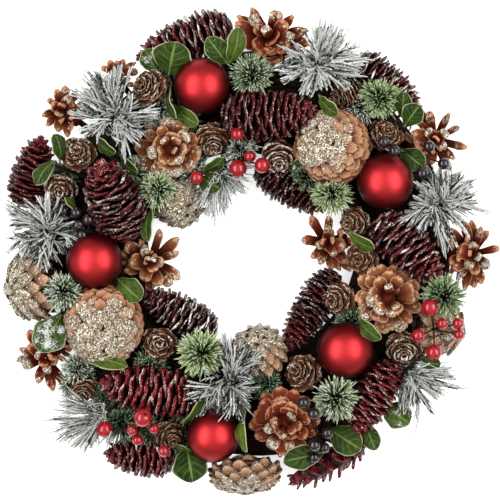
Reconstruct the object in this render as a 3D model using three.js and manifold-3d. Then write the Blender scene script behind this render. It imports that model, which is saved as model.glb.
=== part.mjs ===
// A pinecone wreath, lying on its back: a bound vine ring that carries painted spruce cones, open pine cones,
// glittered cones, larch twigs, baubles, berry picks, flocked pine sprays and sprigs of leaves and needle tufts.
// Millimetres, +Z up. The back of the ring lies on z = 0 and the face of the wreath looks up.
import * as THREE from "three";
import { ConvexGeometry } from "three/addons/geometries/ConvexGeometry.js";
import { mergeVertices } from "three/addons/utils/BufferGeometryUtils.js";
import Module from "manifold-3d";

const wasm = await Module();
wasm.setup();

// Driving dimensions
const MM_PER_PIXEL = 0.72; // the wreath is about 350 mm across 487 pixels of the photograph
const PHOTO_CENTRE = [250, 254]; // the ring's centre in the photograph's 500 x 500 frame
const CLEARANCE = 0.35; // air between a piece and what was cut to fit against it
const RING_RADIUS = 111; // centre line of the vine ring
const RING_HALF_WIDTH = 38;
const RING_HALF_HEIGHT = 13;
const RING_STRANDS = 6;
const RING_TWIST = 5; // strands that the lay moves on by in one turn of the ring
const RING_STATIONS = 28;
const STRAND_RELIEF = 0.055; // how far a strand stands out, as a share of the ring's section
const RING_MIDDLE_Z = 10.5; // below the half height, so that the strands' backs are pressed flat
const WIRE_RADIUS = 1.1;
const WIRE_LIFT = 1.6; // from the ring's mean surface to the middle of a wire laid on it
const RISER_STEP = 5; // how high a riser steps over the wires that lie on the ring
const LARCH_TRACK = 97;
const SPRIG_TRACK = 126;
const SPRAY_STEM = 9;
const SPRAY_CORE = { around: 6, rows: 3, radius: 2.4, halfLength: 8 };
const TUFT_CORE = { around: 6, rows: 3, radius: 2.2, halfLength: 3, sweep: 0.25 };
const STALK_RADIUS = 2.2;
const BERRY_STALK = 1.6; // radius of a berry's stalk where it meets the berry
const PICK_HUB = 2.4; // radius of the knot where a pick's stalks meet
const STEM_RADIUS = 1.4; // of a pick's or a spray's stem
const BAUBLE_CAP_RADIUS = 5;
const ROOT_DEPTH = 2; // how far below the ring's mean surface a stem is aimed, before it is cut back from the ring
const SIMPLIFY = 0.12; // detail finer than this is dropped from a cut solid
const NEEDLE_SPACE = 3.4; // width at its root of the space that a needle keeps for itself
const NEEDLE_SHARES = [1, 0.85, 0.7, 0.55, 0.4, 0.25]; // of its length, that a hindered needle is cut to
const LEAF_THICKNESS = 0.8;
const BAUBLE_RADIUS = 20.3;
const GOLDEN_ANGLE = Math.PI * (3 - Math.sqrt(5));

const DEGREE = Math.PI / 180;
const UP = new THREE.Vector3(0, 0, 1);

// Where the pieces sit. photo is a piece's middle in the photograph's frame and z the height of its middle.
// heading is the way its tip points (0 is right in the photograph, 90 is up) and rise how far the tip lifts
// towards the viewer, in degrees. Sizes are millimetres.
const baubles = [
  { photo: [202, 86], z: 46.5 },
  { photo: [385, 182], z: 47 },
  { photo: [95, 261], z: 47 },
  { photo: [345, 350], z: 47 },
  { photo: [213, 436], z: 45, radius: 19 },
];

const redCones = [
  { photo: [184, 40], z: 27, heading: 201, rise: 0, length: 74, radius: 17.5 },
  { photo: [269, 115], z: 44, heading: 2, rise: 4, length: 72, radius: 19.5 },
  { photo: [388, 80], z: 27, heading: -40, rise: 0, length: 62, radius: 16 },
  { photo: [31, 171], z: 25, heading: 74, rise: 8, length: 54, radius: 16 },
  { photo: [114, 199], z: 48, heading: 112, rise: 30, length: 66, radius: 20.5 },
  { photo: [180, 314], z: 27, heading: 161, rise: 0, length: 64, radius: 15 },
  { photo: [148, 390], z: 42, heading: 171, rise: 0, length: 70, radius: 18 },
  { photo: [139, 457], z: 25, heading: 176, rise: 0, length: 52, radius: 16 },
  { photo: [408, 249], z: 43, heading: -45, rise: 5, length: 66, radius: 18 },
  { photo: [313, 312], z: 27, heading: 238, rise: 4, length: 66, radius: 14.5 },
  { photo: [374, 398], z: 39, heading: 240, rise: 0, length: 60, radius: 15.5 },
  { photo: [326, 465], z: 23, heading: 209, rise: 0, length: 64, radius: 14 },
  { photo: [289, 189], z: 22, heading: -33, rise: 0, length: 60, radius: 15 },
];

const openCones = [
  { photo: [171, 148], z: 46, heading: 90, rise: 84, length: 36, radius: 23, open: 1 },
  { photo: [272, 38], z: 33, heading: 110, rise: 40, length: 44, radius: 25, open: 0.7 },
  { photo: [60, 109], z: 27, heading: 150, rise: 15, length: 38, radius: 17, open: 0.5 },
  { photo: [436, 139], z: 29, heading: 30, rise: 15, length: 46, radius: 24, open: 0.45 },
  { photo: [474, 254], z: 27, heading: -5, rise: 10, length: 42, radius: 24, open: 0.5 },
  { photo: [327, 243], z: 25, heading: 186, rise: 15, length: 36, radius: 18, open: 0.6 },
  { photo: [388, 298], z: 47, heading: 70, rise: 78, length: 38, radius: 26, open: 1 },
  { photo: [285, 422], z: 46, heading: -90, rise: 80, length: 38, radius: 25.5, open: 1 },
  { photo: [150, 262], z: 29, heading: -20, rise: 15, length: 44, radius: 21, open: 0.5 },
  { photo: [44, 359], z: 25, heading: 225, rise: 10, length: 40, radius: 19, open: 0.5 },
  { photo: [115, 72], z: 24, heading: 118, rise: 15, length: 30, radius: 12, open: 0.5 },
];

const glitterCones = [
  { photo: [333, 147], z: 43, heading: 90, rise: 82, length: 34, radius: 26.5 },
  { photo: [104, 325], z: 43, heading: -60, rise: 82, length: 34, radius: 27.5 },
  { photo: [31, 287], z: 29, heading: 187, rise: 8, length: 38, radius: 23 },
  { photo: [245, 470], z: 29, heading: -88, rise: 8, length: 34, radius: 24 },
  { photo: [440, 329], z: 24, heading: -14, rise: 8, length: 38, radius: 19 },
  { photo: [181, 206], z: 30, heading: -35, rise: 35, length: 34, radius: 17 },
  { photo: [259, 347], z: 32, heading: 95, rise: 40, length: 32, radius: 17 },
];

// Each twig is a wire laid on the ring, with its cones on short stalks.
const larchTwigs = [
  {
    name: "larch_twig_upper_left",
    cones: [
      { photo: [147, 87], z: 44, heading: 150, rise: 50, length: 28, radius: 13 },
      { photo: [77, 153], z: 41, heading: 120, rise: 78, length: 26, radius: 13.5 },
      { photo: [60, 190], z: 39, heading: -90, rise: 75, length: 25, radius: 12.5 },
    ],
  },
  {
    name: "larch_twig_top",
    cones: [
      { photo: [213, 141], z: 42, heading: -90, rise: 50, length: 28, radius: 12 },
      { photo: [279, 159], z: 39, heading: -95, rise: 55, length: 30, radius: 14 },
      { photo: [342, 96], z: 42, heading: 205, rise: 20, length: 30, radius: 12 },
      { photo: [386, 134], z: 43, heading: 60, rise: 65, length: 28, radius: 13 },
    ],
  },
  {
    name: "larch_twig_right",
    cones: [
      { photo: [353, 222], z: 39, heading: 190, rise: 60, length: 27, radius: 12.5 },
      { photo: [361, 259], z: 41, heading: 190, rise: 70, length: 27, radius: 12.5 },
      { photo: [337, 299], z: 39, heading: 200, rise: 60, length: 32, radius: 13 },
      { photo: [403, 351], z: 40, heading: -90, rise: 62, length: 28, radius: 14 },
    ],
  },
  {
    name: "larch_twig_lower_left",
    cones: [
      { photo: [301, 372], z: 40, heading: 165, rise: 55, length: 30, radius: 15 },
      { photo: [159, 344], z: 39, heading: 90, rise: 85, length: 27, radius: 13.5 },
      { photo: [170, 437], z: 38, heading: -45, rise: 60, length: 26, radius: 12 },
      { photo: [83, 390], z: 33, heading: -100, rise: 45, length: 27, radius: 12 },
    ],
  },
];

// Each pick is a stem pushed into the ring, with a stalk from its head to every berry.
// head and berries are [x, y] in the photograph's frame, the height z, and a berry's radius.
const berryPicks = [
  {
    name: "red_berries_top",
    colour: "redBerry",
    head: [234, 158, 40],
    berries: [
      [237, 135, 58, 4.6],
      [238, 169, 47, 6.4],
      [197, 178, 50, 4.8],
      [250, 157, 52, 4.2],
      [262, 166, 58, 5.6],
    ],
  },
  {
    name: "red_berries_lower_left",
    colour: "redBerry",
    head: [138, 428, 43],
    berries: [
      [105, 429, 46, 6.0],
      [144, 416, 66, 6.6],
      [133, 429, 57, 3.9],
      [155, 427, 61, 3.9],
      [138, 439, 52, 4.0],
      [164, 450, 53, 4.2],
    ],
  },
  {
    name: "red_berries_right",
    colour: "redBerry",
    head: [433, 329, 49],
    berries: [
      [429, 307, 57, 6.4],
      [441, 323, 57, 4.2],
      [457, 323, 54, 4.2],
      [458, 334, 53, 3.9],
      [417, 335, 57, 4.8],
      [433, 352, 52, 5.8],
    ],
  },
  {
    name: "dark_berries_left",
    colour: "darkBerry",
    head: [76, 223, 42],
    berries: [
      [64, 211, 50, 4.3],
      [77, 213, 53, 4.3],
      [79, 225, 52, 4.3],
      [89, 220, 54, 4.3],
      [83, 235, 52, 4.3],
    ],
  },
  {
    name: "dark_berries_right",
    colour: "darkBerry",
    head: [417, 155, 42],
    berries: [
      [382, 143, 62, 4.3],
      [393, 152, 62, 4.3],
      [428, 147, 54, 4.3],
      [443, 164, 50, 4.4],
      [421, 174, 52, 4.3],
    ],
  },
  {
    name: "dark_berries_bottom",
    colour: "darkBerry",
    head: [317, 434, 42],
    berries: [
      [303, 401, 66, 4.4],
      [313, 412, 64, 4.4],
      [327, 432, 54, 4.4],
      [314, 444, 54, 4.6],
      [324, 447, 49, 4.0],
      [314, 457, 48, 4.0],
    ],
  },
];

// A sprig is a wire laid on the ring, with needle tufts and leaves. A leaf's photo and z are its foot.
const LEAF = { z: 44, rise: 20, length: 22, width: 16, roll: 0 };
const sprigs = [
  {
    name: "greenery_upper_left",
    tufts: [{ photo: [158, 190], z: 42, radius: 13 }],
    leaves: [
      { photo: [169, 73], heading: 80, length: 24, width: 30, z: 45 },
      { photo: [157, 70], heading: 118, length: 18, width: 16, z: 42 },
      { photo: [97, 136], heading: -43, length: 20, width: 12, z: 48, roll: 55 },
      { photo: [153, 208], heading: -98, length: 26, width: 11, z: 44, roll: 40 },
      { photo: [60, 160], heading: 100, length: 20, width: 12, z: 42, roll: 35 },
      { photo: [54, 162], heading: -125, length: 22, width: 14, z: 40, roll: 30 },
    ],
  },
  {
    name: "greenery_top",
    tufts: [
      { photo: [252, 76], z: 46, radius: 15 },
      { photo: [377, 100], z: 46, radius: 14 },
      { photo: [332, 194], z: 42, radius: 14 },
    ],
    leaves: [
      { photo: [227, 64], heading: 128, length: 24, width: 16, z: 48 },
      { photo: [229, 64], heading: 75, length: 28, width: 15, z: 47, roll: 30 },
      { photo: [319, 97], heading: -45, length: 20, width: 12, z: 56, roll: 45 },
      { photo: [401, 116], heading: 85, length: 17, width: 13, z: 46 },
      { photo: [404, 126], heading: 55, length: 18, width: 17, z: 48 },
    ],
  },
  {
    name: "greenery_right",
    tufts: [{ photo: [442, 296], z: 50, radius: 13 }],
    leaves: [
      { photo: [349, 233], heading: -32, length: 22, width: 12, z: 56, roll: 45 },
      { photo: [358, 317], heading: -45, length: 23, width: 12, z: 58, roll: 40 },
      { photo: [417, 362], heading: -5, length: 17, width: 12, z: 38 },
    ],
  },
  {
    name: "greenery_bottom",
    tufts: [
      { photo: [336, 398], z: 48, radius: 15 },
      { photo: [202, 353], z: 46, radius: 16.5 },
    ],
    leaves: [
      { photo: [392, 408], heading: -30, length: 20, width: 17, z: 34 },
      { photo: [371, 429], heading: -60, length: 18, width: 13, z: 33 },
      { photo: [336, 428], heading: -40, length: 26, width: 22, z: 42 },
      { photo: [322, 452], heading: 195, length: 32, width: 18, z: 36 },
      { photo: [245, 411], heading: -88, length: 30, width: 10, z: 52, roll: 60 },
      { photo: [190, 452], heading: -85, length: 22, width: 24, z: 36 },
    ],
  },
  {
    name: "greenery_left",
    tufts: [{ photo: [64, 292], z: 46, radius: 13 }],
    leaves: [
      { photo: [118, 279], heading: -42, length: 24, width: 20, z: 44 },
      { photo: [62, 315], heading: -120, length: 32, width: 27, z: 42 },
      { photo: [84, 360], heading: -8, length: 34, width: 14, z: 40, roll: -35 },
    ],
  },
];

// A spray's photo and z are the tip of its stem, where its needles part. sweep is how far they lean forward.
const sprays = [
  { photo: [117, 117], z: 46, heading: 125, rise: 60, reach: 36, sweep: 0.3 },
  { photo: [318, 62], z: 46, heading: 75, rise: 60, reach: 35, sweep: 0.3 },
  { photo: [50, 230], z: 44, heading: 170, rise: 50, reach: 36, sweep: 0.35 },
  { photo: [440, 204], z: 44, heading: -20, rise: 55, reach: 34, sweep: 0.3 },
  { photo: [226, 176], z: 36, heading: -85, rise: 20, reach: 34, sweep: 0.6 },
  { photo: [104, 414], z: 42, heading: 215, rise: 12, reach: 42, sweep: 0.6 },
  { photo: [230, 382], z: 50, heading: 230, rise: 60, reach: 33, sweep: 0.3 },
  { photo: [413, 381], z: 42, heading: -38, rise: 12, reach: 36, sweep: 0.6 },
];

const COLOURS = {
  vine: { color: 0x5a3d26, roughness: 0.85 },
  bauble: { color: 0xb3121c, roughness: 0.35, metalness: 0.4 },
  redCone: { color: 0x6b1220, roughness: 0.35 },
  openCone: { color: 0x9a5a34, roughness: 0.6 },
  glitterCone: { color: 0xb99f78, roughness: 0.45, metalness: 0.3 },
  larch: { color: 0x6b4a30, roughness: 0.6 },
  redBerry: { color: 0xc8101c, roughness: 0.15 },
  darkBerry: { color: 0x2a1a20, roughness: 0.15 },
  green: { color: 0x3f6a34, roughness: 0.55 },
  flock: { color: 0xb9bfbd, roughness: 0.9 },
};

const materials = Object.fromEntries(
  Object.entries(COLOURS).map(([name, values]) => [name, new THREE.MeshStandardMaterial(values)]),
);

// Places and frames

function spot([x, y], z) {
  return new THREE.Vector3((x - PHOTO_CENTRE[0]) * MM_PER_PIXEL, (PHOTO_CENTRE[1] - y) * MM_PER_PIXEL, z);
}

function direction(heading, rise) {
  return new THREE.Vector3(
    Math.cos(rise * DEGREE) * Math.cos(heading * DEGREE),
    Math.cos(rise * DEGREE) * Math.sin(heading * DEGREE),
    Math.sin(rise * DEGREE),
  );
}

// The frame of a piece whose own +Z is its axis and whose origin is its middle.
function coneFrame(piece) {
  const turn = new THREE.Quaternion().setFromUnitVectors(UP, direction(piece.heading, piece.rise));
  return new THREE.Matrix4().compose(spot(piece.photo, piece.z), turn, new THREE.Vector3(1, 1, 1));
}

// The frame of a leaf, which runs along its own +X from its foot.
function leafFrame(leaf) {
  const turn = new THREE.Quaternion().setFromEuler(
    new THREE.Euler(leaf.roll * DEGREE, -leaf.rise * DEGREE, leaf.heading * DEGREE, "ZYX"),
  );
  return new THREE.Matrix4().compose(spot(leaf.photo, leaf.z), turn, new THREE.Vector3(1, 1, 1));
}

// Compass angle of a point of the photograph round the ring's centre, in radians clockwise from the top.
function compass([x, y]) {
  return Math.atan2(x - PHOTO_CENTRE[0], PHOTO_CENTRE[1] - y);
}

function onRing(angle, radius, z) {
  return new THREE.Vector3(radius * Math.sin(angle), radius * Math.cos(angle), z);
}

// Where the ring's upper surface lies at a distance from its centre.
function ringTop(radius) {
  const across = Math.min(1, Math.abs(radius - RING_RADIUS) / RING_HALF_WIDTH);
  return RING_MIDDLE_Z + RING_HALF_HEIGHT * Math.sqrt(1 - across * across);
}

function overRing(radius) {
  const reach = 0.8 * RING_HALF_WIDTH;
  return THREE.MathUtils.clamp(radius, RING_RADIUS - reach, RING_RADIUS + reach);
}

let seed = 20251;
function random() {
  seed = (seed * 1664525 + 1013904223) % 4294967296;
  return seed / 4294967296;
}

// Geometry and solids

function solidOf(geometry) {
  const bare = new THREE.BufferGeometry().setAttribute("position", geometry.getAttribute("position"));
  if (geometry.index) bare.setIndex(geometry.index);
  const merged = mergeVertices(bare, 1e-4);
  return new wasm.Manifold(
    new wasm.Mesh({
      numProp: 3,
      vertProperties: new Float32Array(merged.attributes.position.array),
      triVerts: new Uint32Array(merged.index.array),
    }),
  );
}

function geometryOf(solid) {
  const { vertProperties, triVerts } = solid.getMesh();
  const geometry = new THREE.BufferGeometry()
    .setAttribute("position", new THREE.BufferAttribute(new Float32Array(vertProperties), 3))
    .setIndex(new THREE.BufferAttribute(new Uint32Array(triVerts), 1));
  geometry.computeVertexNormals();
  return geometry;
}

function moved(solid, matrix) {
  return solid.transform(matrix.elements);
}

function union(solids) {
  return wasm.Manifold.union(solids);
}

function largest(solid) {
  return solid.decompose().reduce((best, part) => (part.volume() > best.volume() ? part : best));
}

// A closed surface from rings of points, each ring joined to the next, with a pole at either end.
function ringedGeometry(rings, firstPole, lastPole) {
  const around = rings[0].length;
  const points = [firstPole, ...rings.flat(), lastPole];
  const last = points.length - 1;
  const at = (ring, step) => 1 + ring * around + (step % around);
  const index = [];
  for (let step = 0; step < around; step += 1) {
    index.push(0, at(0, step + 1), at(0, step));
    index.push(last, at(rings.length - 1, step), at(rings.length - 1, step + 1));
    for (let ring = 0; ring + 1 < rings.length; ring += 1) {
      index.push(at(ring, step), at(ring, step + 1), at(ring + 1, step));
      index.push(at(ring, step + 1), at(ring + 1, step + 1), at(ring + 1, step));
    }
  }
  return new THREE.BufferGeometry().setFromPoints(points).setIndex(index);
}

// A bent wire through the points, with a few flat sides.
function wire(points, radius, steps = points.length, sides = 3) {
  const corners = [];
  for (let side = 0; side < sides; side += 1) {
    const angle = (side / sides) * 2 * Math.PI;
    corners.push(new THREE.Vector2(radius * Math.cos(angle), radius * Math.sin(angle)));
  }
  const section = new THREE.Shape(corners);
  const extrudePath = new THREE.CatmullRomCurve3(points);
  return solidOf(new THREE.ExtrudeGeometry(section, { steps, bevelEnabled: false, extrudePath }));
}

function ball(centre, radius, around, rows) {
  const geometry = new THREE.SphereGeometry(radius, around, rows);
  return solidOf(geometry.rotateX(Math.PI / 2).translate(centre.x, centre.y, centre.z));
}

function berry(centre, radius) {
  return solidOf(new THREE.IcosahedronGeometry(1.07 * radius).translate(centre.x, centre.y, centre.z));
}

// The vine ring: strands laid side by side round a flat oval section and twisted along the ring.
function vineRing(grow) {
  const sides = RING_STRANDS * 2;
  const points = [];
  for (let station = 0; station < RING_STATIONS; station += 1) {
    const angle = (station / RING_STATIONS) * 2 * Math.PI;
    const lay = (RING_TWIST / RING_STRANDS) * angle;
    const wander = 1 + 0.03 * Math.sin(3 * angle) + 0.02 * Math.sin(7 * angle + 1);
    for (let side = 0; side < sides; side += 1) {
      const round = (side / sides) * 2 * Math.PI + lay;
      const relief = side % 2 ? 1 + STRAND_RELIEF : 1 - STRAND_RELIEF;
      const out = (RING_HALF_WIDTH * relief * wander + grow) * Math.cos(round);
      const rise = (RING_HALF_HEIGHT * relief + grow) * Math.sin(round);
      points.push(onRing(angle, RING_RADIUS + out, RING_MIDDLE_Z + rise));
    }
  }
  const index = [];
  for (let station = 0; station < RING_STATIONS; station += 1) {
    // The lay brings the last station's strands on to other numbers than the first's.
    const shift = station === RING_STATIONS - 1 ? 2 * RING_TWIST : 0;
    const next = (station + 1) % RING_STATIONS;
    for (let side = 0; side < sides; side += 1) {
      const a = station * sides + side;
      const b = station * sides + ((side + 1) % sides);
      const c = next * sides + ((side + shift) % sides);
      const d = next * sides + ((side + 1 + shift) % sides);
      index.push(a, b, c, b, d, c);
    }
  }
  const geometry = new THREE.BufferGeometry().setFromPoints(points).setIndex(index);
  return solidOf(geometry).trimByPlane([0, 0, 1], -grow);
}

// A closed cone whose scales are rows of lips raised from its surface.
// bulge is where along it the cone is widest, and lift how far a scale's tip stands out.
function scalyCone({ length, radius }, { rows, scales, bulge, blunt, lift, tuck }) {
  const girth = (u) => {
    const side = u < bulge ? (bulge - u) / bulge : (u - bulge) / (1 - bulge);
    const power = u < bulge ? 3 : blunt;
    return radius * Math.sqrt(Math.max(0.01, 1 - side ** power));
  };
  const rings = [];
  for (let row = 0; row < rows; row += 1) {
    const lip = [];
    const under = [];
    for (let step = 0; step < 2 * scales; step += 1) {
      const angle = (step / scales) * Math.PI;
      const tip = (step + row) % 2;
      const lipAt = (row + 0.55 + 0.2 * tip) / rows;
      const underAt = Math.min(0.985, (row + 0.95) / rows);
      const lipRadius = girth(lipAt) * (tip ? 1 + lift : 1 - 0.3 * lift);
      const underRadius = girth(underAt) * (1 - tuck);
      const point = (r, u) => new THREE.Vector3(r * Math.cos(angle), r * Math.sin(angle), (u - 0.5) * length);
      lip.push(point(lipRadius, lipAt));
      under.push(point(underRadius, underAt));
    }
    rings.push(lip, under);
  }
  const pole = (end) => new THREE.Vector3(0, 0, (end * length) / 2);
  return solidOf(ringedGeometry(rings, pole(-1), pole(1)));
}

const SCALES = {
  red: { rows: 5, scales: 4, bulge: 0.4, blunt: 1.9, lift: 0.13, tuck: 0.18 },
  glitter: { rows: 3, scales: 6, bulge: 0.45, blunt: 2.4, lift: 0.14, tuck: 0.22 },
  larch: { rows: 2, scales: 4, bulge: 0.5, blunt: 2.6, lift: 0.14, tuck: 0.3 },
};

// One woody scale of an open cone: a narrow root that widens to a thick rounded tip, along +X.
function woodyScale(root, reach, width, thickness) {
  const points = [
    [root, 0, 0],
    [reach * 0.8, -width / 2, 0],
    [reach * 0.8, width / 2, 0],
    [reach, 0, 0],
    [reach * 0.8, 0, -thickness],
    [reach * 0.7, 0, thickness * 0.6],
  ];
  return solidOf(new ConvexGeometry(points.map((p) => new THREE.Vector3(...p))));
}

// An open pine cone: a slim spindle with scales set round it by the golden angle, the lowest laid widest open.
// A flat rosette has broad scales, and a cone seen from its side has narrow ones.
function openCone({ length, radius, open }) {
  const rosette = open === 1;
  const count = rosette ? 13 : 11;
  const ring = (share, u) =>
    [0, 1, 2, 3, 4].map((step) => {
      const angle = (step / 5) * 2 * Math.PI;
      const r = share * radius;
      return new THREE.Vector3(r * Math.cos(angle), r * Math.sin(angle), u * length);
    });
  const pole = (u) => new THREE.Vector3(0, 0, u * length);
  const solids = [solidOf(ringedGeometry([ring(0.42, -0.36), ring(0.3, 0.2)], pole(-0.48), pole(0.46)))];
  for (let i = 0; i < count; i += 1) {
    const u = i / (count - 1);
    const lean = (rosette ? 80 - 64 * u : 88 - 66 * u) * DEGREE;
    const reach = radius * (1 - 0.5 * u * u);
    const width = radius * (rosette ? 0.78 : 0.5) * (1 - 0.45 * u);
    const matrix = new THREE.Matrix4()
      .makeTranslation(0, 0, (-0.36 + 0.66 * u) * length)
      .multiply(new THREE.Matrix4().makeRotationZ(i * GOLDEN_ANGLE))
      .multiply(new THREE.Matrix4().makeRotationY(lean - Math.PI / 2));
    solids.push(moved(woodyScale(0.2 * radius * (1 - u), reach, width, 0.08 * radius + 0.8), matrix));
  }
  return union(solids);
}

// How far a leaf arches up at a share of its length.
function leafSurface(length, u) {
  return 0.16 * length * Math.sin(Math.PI * u);
}

// A leaf along +X from its foot: a rib line and two lifted sides, alike on its upper and lower face.
function leafBlade({ length, width }, grow) {
  const half = LEAF_THICKNESS / 2 + grow;
  const top = [];
  [0, 0.3, 0.66, 1].forEach((u, i) => {
    const side = [0.1, 0.43, 0.45, 0][i] * width + grow;
    const lift = leafSurface(length, u);
    top.push([u * length + (i === 3 ? grow : 0), 0, lift]);
    if (i < 3) {
      top.push([(u + 0.04) * length, side, lift + 0.2 * side]);
      top.push([(u - 0.02) * length, -side, lift + 0.2 * side]);
    }
  });
  const faces = [
    [0, 3, 1], [1, 3, 4], [0, 2, 3], [2, 5, 3], [3, 6, 4],
    [4, 6, 7], [3, 5, 6], [5, 8, 6], [6, 9, 7], [6, 8, 9],
  ];
  const edge = [0, 2, 5, 8, 9, 7, 4, 1];
  const count = top.length;
  const points = [
    ...top.map(([x, y, z]) => new THREE.Vector3(x, y, z + half)),
    ...top.map(([x, y, z]) => new THREE.Vector3(x, y, z - half)),
  ];
  const index = faces.flatMap(([a, b, c]) => [a, b, c, a + count, c + count, b + count]);
  edge.forEach((a, i) => {
    const b = edge[(i + 1) % edge.length];
    index.push(a, a + count, b, b, a + count, b + count);
  });
  return solidOf(new THREE.BufferGeometry().setFromPoints(points).setIndex(index));
}

// The slim core that needles stand on, along +Z, with one face for each needle.
function needleCore({ around, rows, radius, halfLength }) {
  const rings = [];
  for (let row = 0; row < rows; row += 1) {
    const lean = ((row + 1) / (rows + 1)) * Math.PI;
    const ring = [];
    for (let step = 0; step < around; step += 1) {
      const angle = ((step + 0.5 * row) / around) * 2 * Math.PI;
      const r = radius * Math.sin(lean);
      ring.push(new THREE.Vector3(r * Math.cos(angle), r * Math.sin(angle), -halfLength * Math.cos(lean)));
    }
    rings.push(ring);
  }
  const pole = (end) => new THREE.Vector3(0, 0, end * halfLength);
  return ringedGeometry(rings, pole(-1), pole(1));
}

function tetrahedron(corners, tip) {
  const index = [0, 2, 1, 0, 1, 3, 1, 2, 3, 2, 0, 3];
  return solidOf(new THREE.BufferGeometry().setFromPoints([...corners, tip]).setIndex(index));
}

// A slender three-sided spike from its root to its tip.
function spike(root, tip, width) {
  const along = new THREE.Vector3().subVectors(tip, root).normalize();
  const across = Math.abs(along.z) < 0.9 ? UP : new THREE.Vector3(1, 0, 0);
  const side = new THREE.Vector3().crossVectors(along, across).normalize();
  const other = new THREE.Vector3().crossVectors(along, side);
  const corners = [0, 1, 2].map((corner) => {
    const angle = (corner / 3) * 2 * Math.PI;
    return root
      .clone()
      .addScaledVector(side, (width / 2) * Math.cos(angle))
      .addScaledVector(other, (width / 2) * Math.sin(angle));
  });
  return tetrahedron(corners, tip);
}

// Fitting the pieces together

const halos = []; // the space each settled piece keeps for itself

function boxesMeet(a, b) {
  return [0, 1, 2].every((axis) => a.min[axis] <= b.max[axis] && b.min[axis] <= a.max[axis]);
}

function keepSpace(owner, solid) {
  halos.push({ owner, solid, box: solid.boundingBox() });
}

function spaceOfOthers(owner, solid) {
  const box = solid.boundingBox();
  return halos.filter((halo) => halo.owner !== owner && boxesMeet(halo.box, box)).map((halo) => halo.solid);
}

function isClear(owner, solid) {
  return spaceOfOthers(owner, solid).every((other) => other.intersect(solid).isEmpty());
}

// Cuts a piece back to the space that the others leave it.
function cutToFit(owner, solid) {
  const others = spaceOfOthers(owner, solid);
  return others.length ? solid.subtract(union(others)) : solid;
}

const CASE_FACES = [UP.clone(), UP.clone().negate()];
for (let heading = 0; heading < 360; heading += 60) CASE_FACES.push(direction(heading, 0));
for (let heading = 30; heading < 360; heading += 90) {
  CASE_FACES.push(direction(heading, 45), direction(heading + 45, -45));
}

// A plain convex case round a solid, with air left inside it, which its neighbours are cut with.
function caseAround(solid, matrix) {
  const points = solid.getMesh().vertProperties;
  let made = solidOf(new THREE.BoxGeometry(400, 400, 400));
  for (const face of CASE_FACES) {
    let reach = 0;
    for (let i = 0; i < points.length; i += 3) {
      reach = Math.max(reach, face.x * points[i] + face.y * points[i + 1] + face.z * points[i + 2]);
    }
    made = made.trimByPlane([-face.x, -face.y, -face.z], -(reach + CLEARANCE));
  }
  return moved(made, matrix);
}

const wreath = new THREE.Group();

// Adds a node. A loose scrap that the cutting left is dropped.
function addNode(name, solid, materialName, matrix = new THREE.Matrix4()) {
  const own = moved(largest(solid.simplify(SIMPLIFY)), matrix.clone().invert());
  const mesh = new THREE.Mesh(geometryOf(own), materials[materialName]);
  mesh.name = name;
  mesh.applyMatrix4(matrix);
  wreath.add(mesh);
}

// A stalk from the foot of a cone down to the nearest part of the ring.
function stalk(matrix, length, radius) {
  const start = new THREE.Vector3(0, 0, -0.25 * length).applyMatrix4(matrix);
  const near = overRing(Math.hypot(start.x, start.y));
  const end = onRing(Math.atan2(start.x, start.y), near, ringTop(near) - ROOT_DEPTH);
  return wire([start, end], radius, 1);
}

function placeCone(name, piece, shape, materialName) {
  const matrix = coneFrame(piece);
  const whole = union([moved(shape, matrix), stalk(matrix, piece.length, STALK_RADIUS)]);
  addNode(name, cutToFit(name, whole), materialName, matrix);
  keepSpace(name, caseAround(shape, matrix));
  keepSpace(name, stalk(matrix, piece.length, STALK_RADIUS + CLEARANCE));
}

// The wires of a garland: one along the ring at the radius `track`, and a riser from it to each thing it carries.
// A riser whose thing lies beyond the other garland's track crosses that track a step higher, and it may run on
// along what it carries.
function garlandWires(track, otherTrack, loads, radius) {
  const crosses = (reach) => (reach - otherTrack) * (track - otherTrack) < 0;
  const level = ringTop(track) + WIRE_LIFT;
  const angles = loads.map((load) => compass(load.photo));
  const middle = Math.atan2(
    angles.reduce((sum, a) => sum + Math.sin(a), 0),
    angles.reduce((sum, a) => sum + Math.cos(a), 0),
  );
  const turns = angles.map((a) => THREE.MathUtils.euclideanModulo(a - middle + Math.PI, 2 * Math.PI) - Math.PI);
  const from = Math.min(...turns) - 0.02;
  const to = Math.max(...turns) + 0.02;
  const steps = Math.max(2, Math.ceil((to - from) / 0.22));
  const along = [];
  for (let i = 0; i <= steps; i += 1) {
    along.push(onRing(middle + from + ((to - from) * i) / steps, track, level));
  }
  const solids = [wire(along, radius, steps)];
  for (const load of loads) {
    const angle = compass(load.photo);
    const [top] = load.path;
    const reach = Math.hypot(top.x, top.y);
    const cross = level + RISER_STEP;
    const points = [onRing(angle, track, level)];
    if (crosses(reach)) points.push(onRing(angle, track, cross), onRing(angle, overRing(reach), cross));
    solids.push(wire([...points, ...load.path], radius, points.length + load.path.length - 1));
  }
  return union(solids);
}

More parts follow.
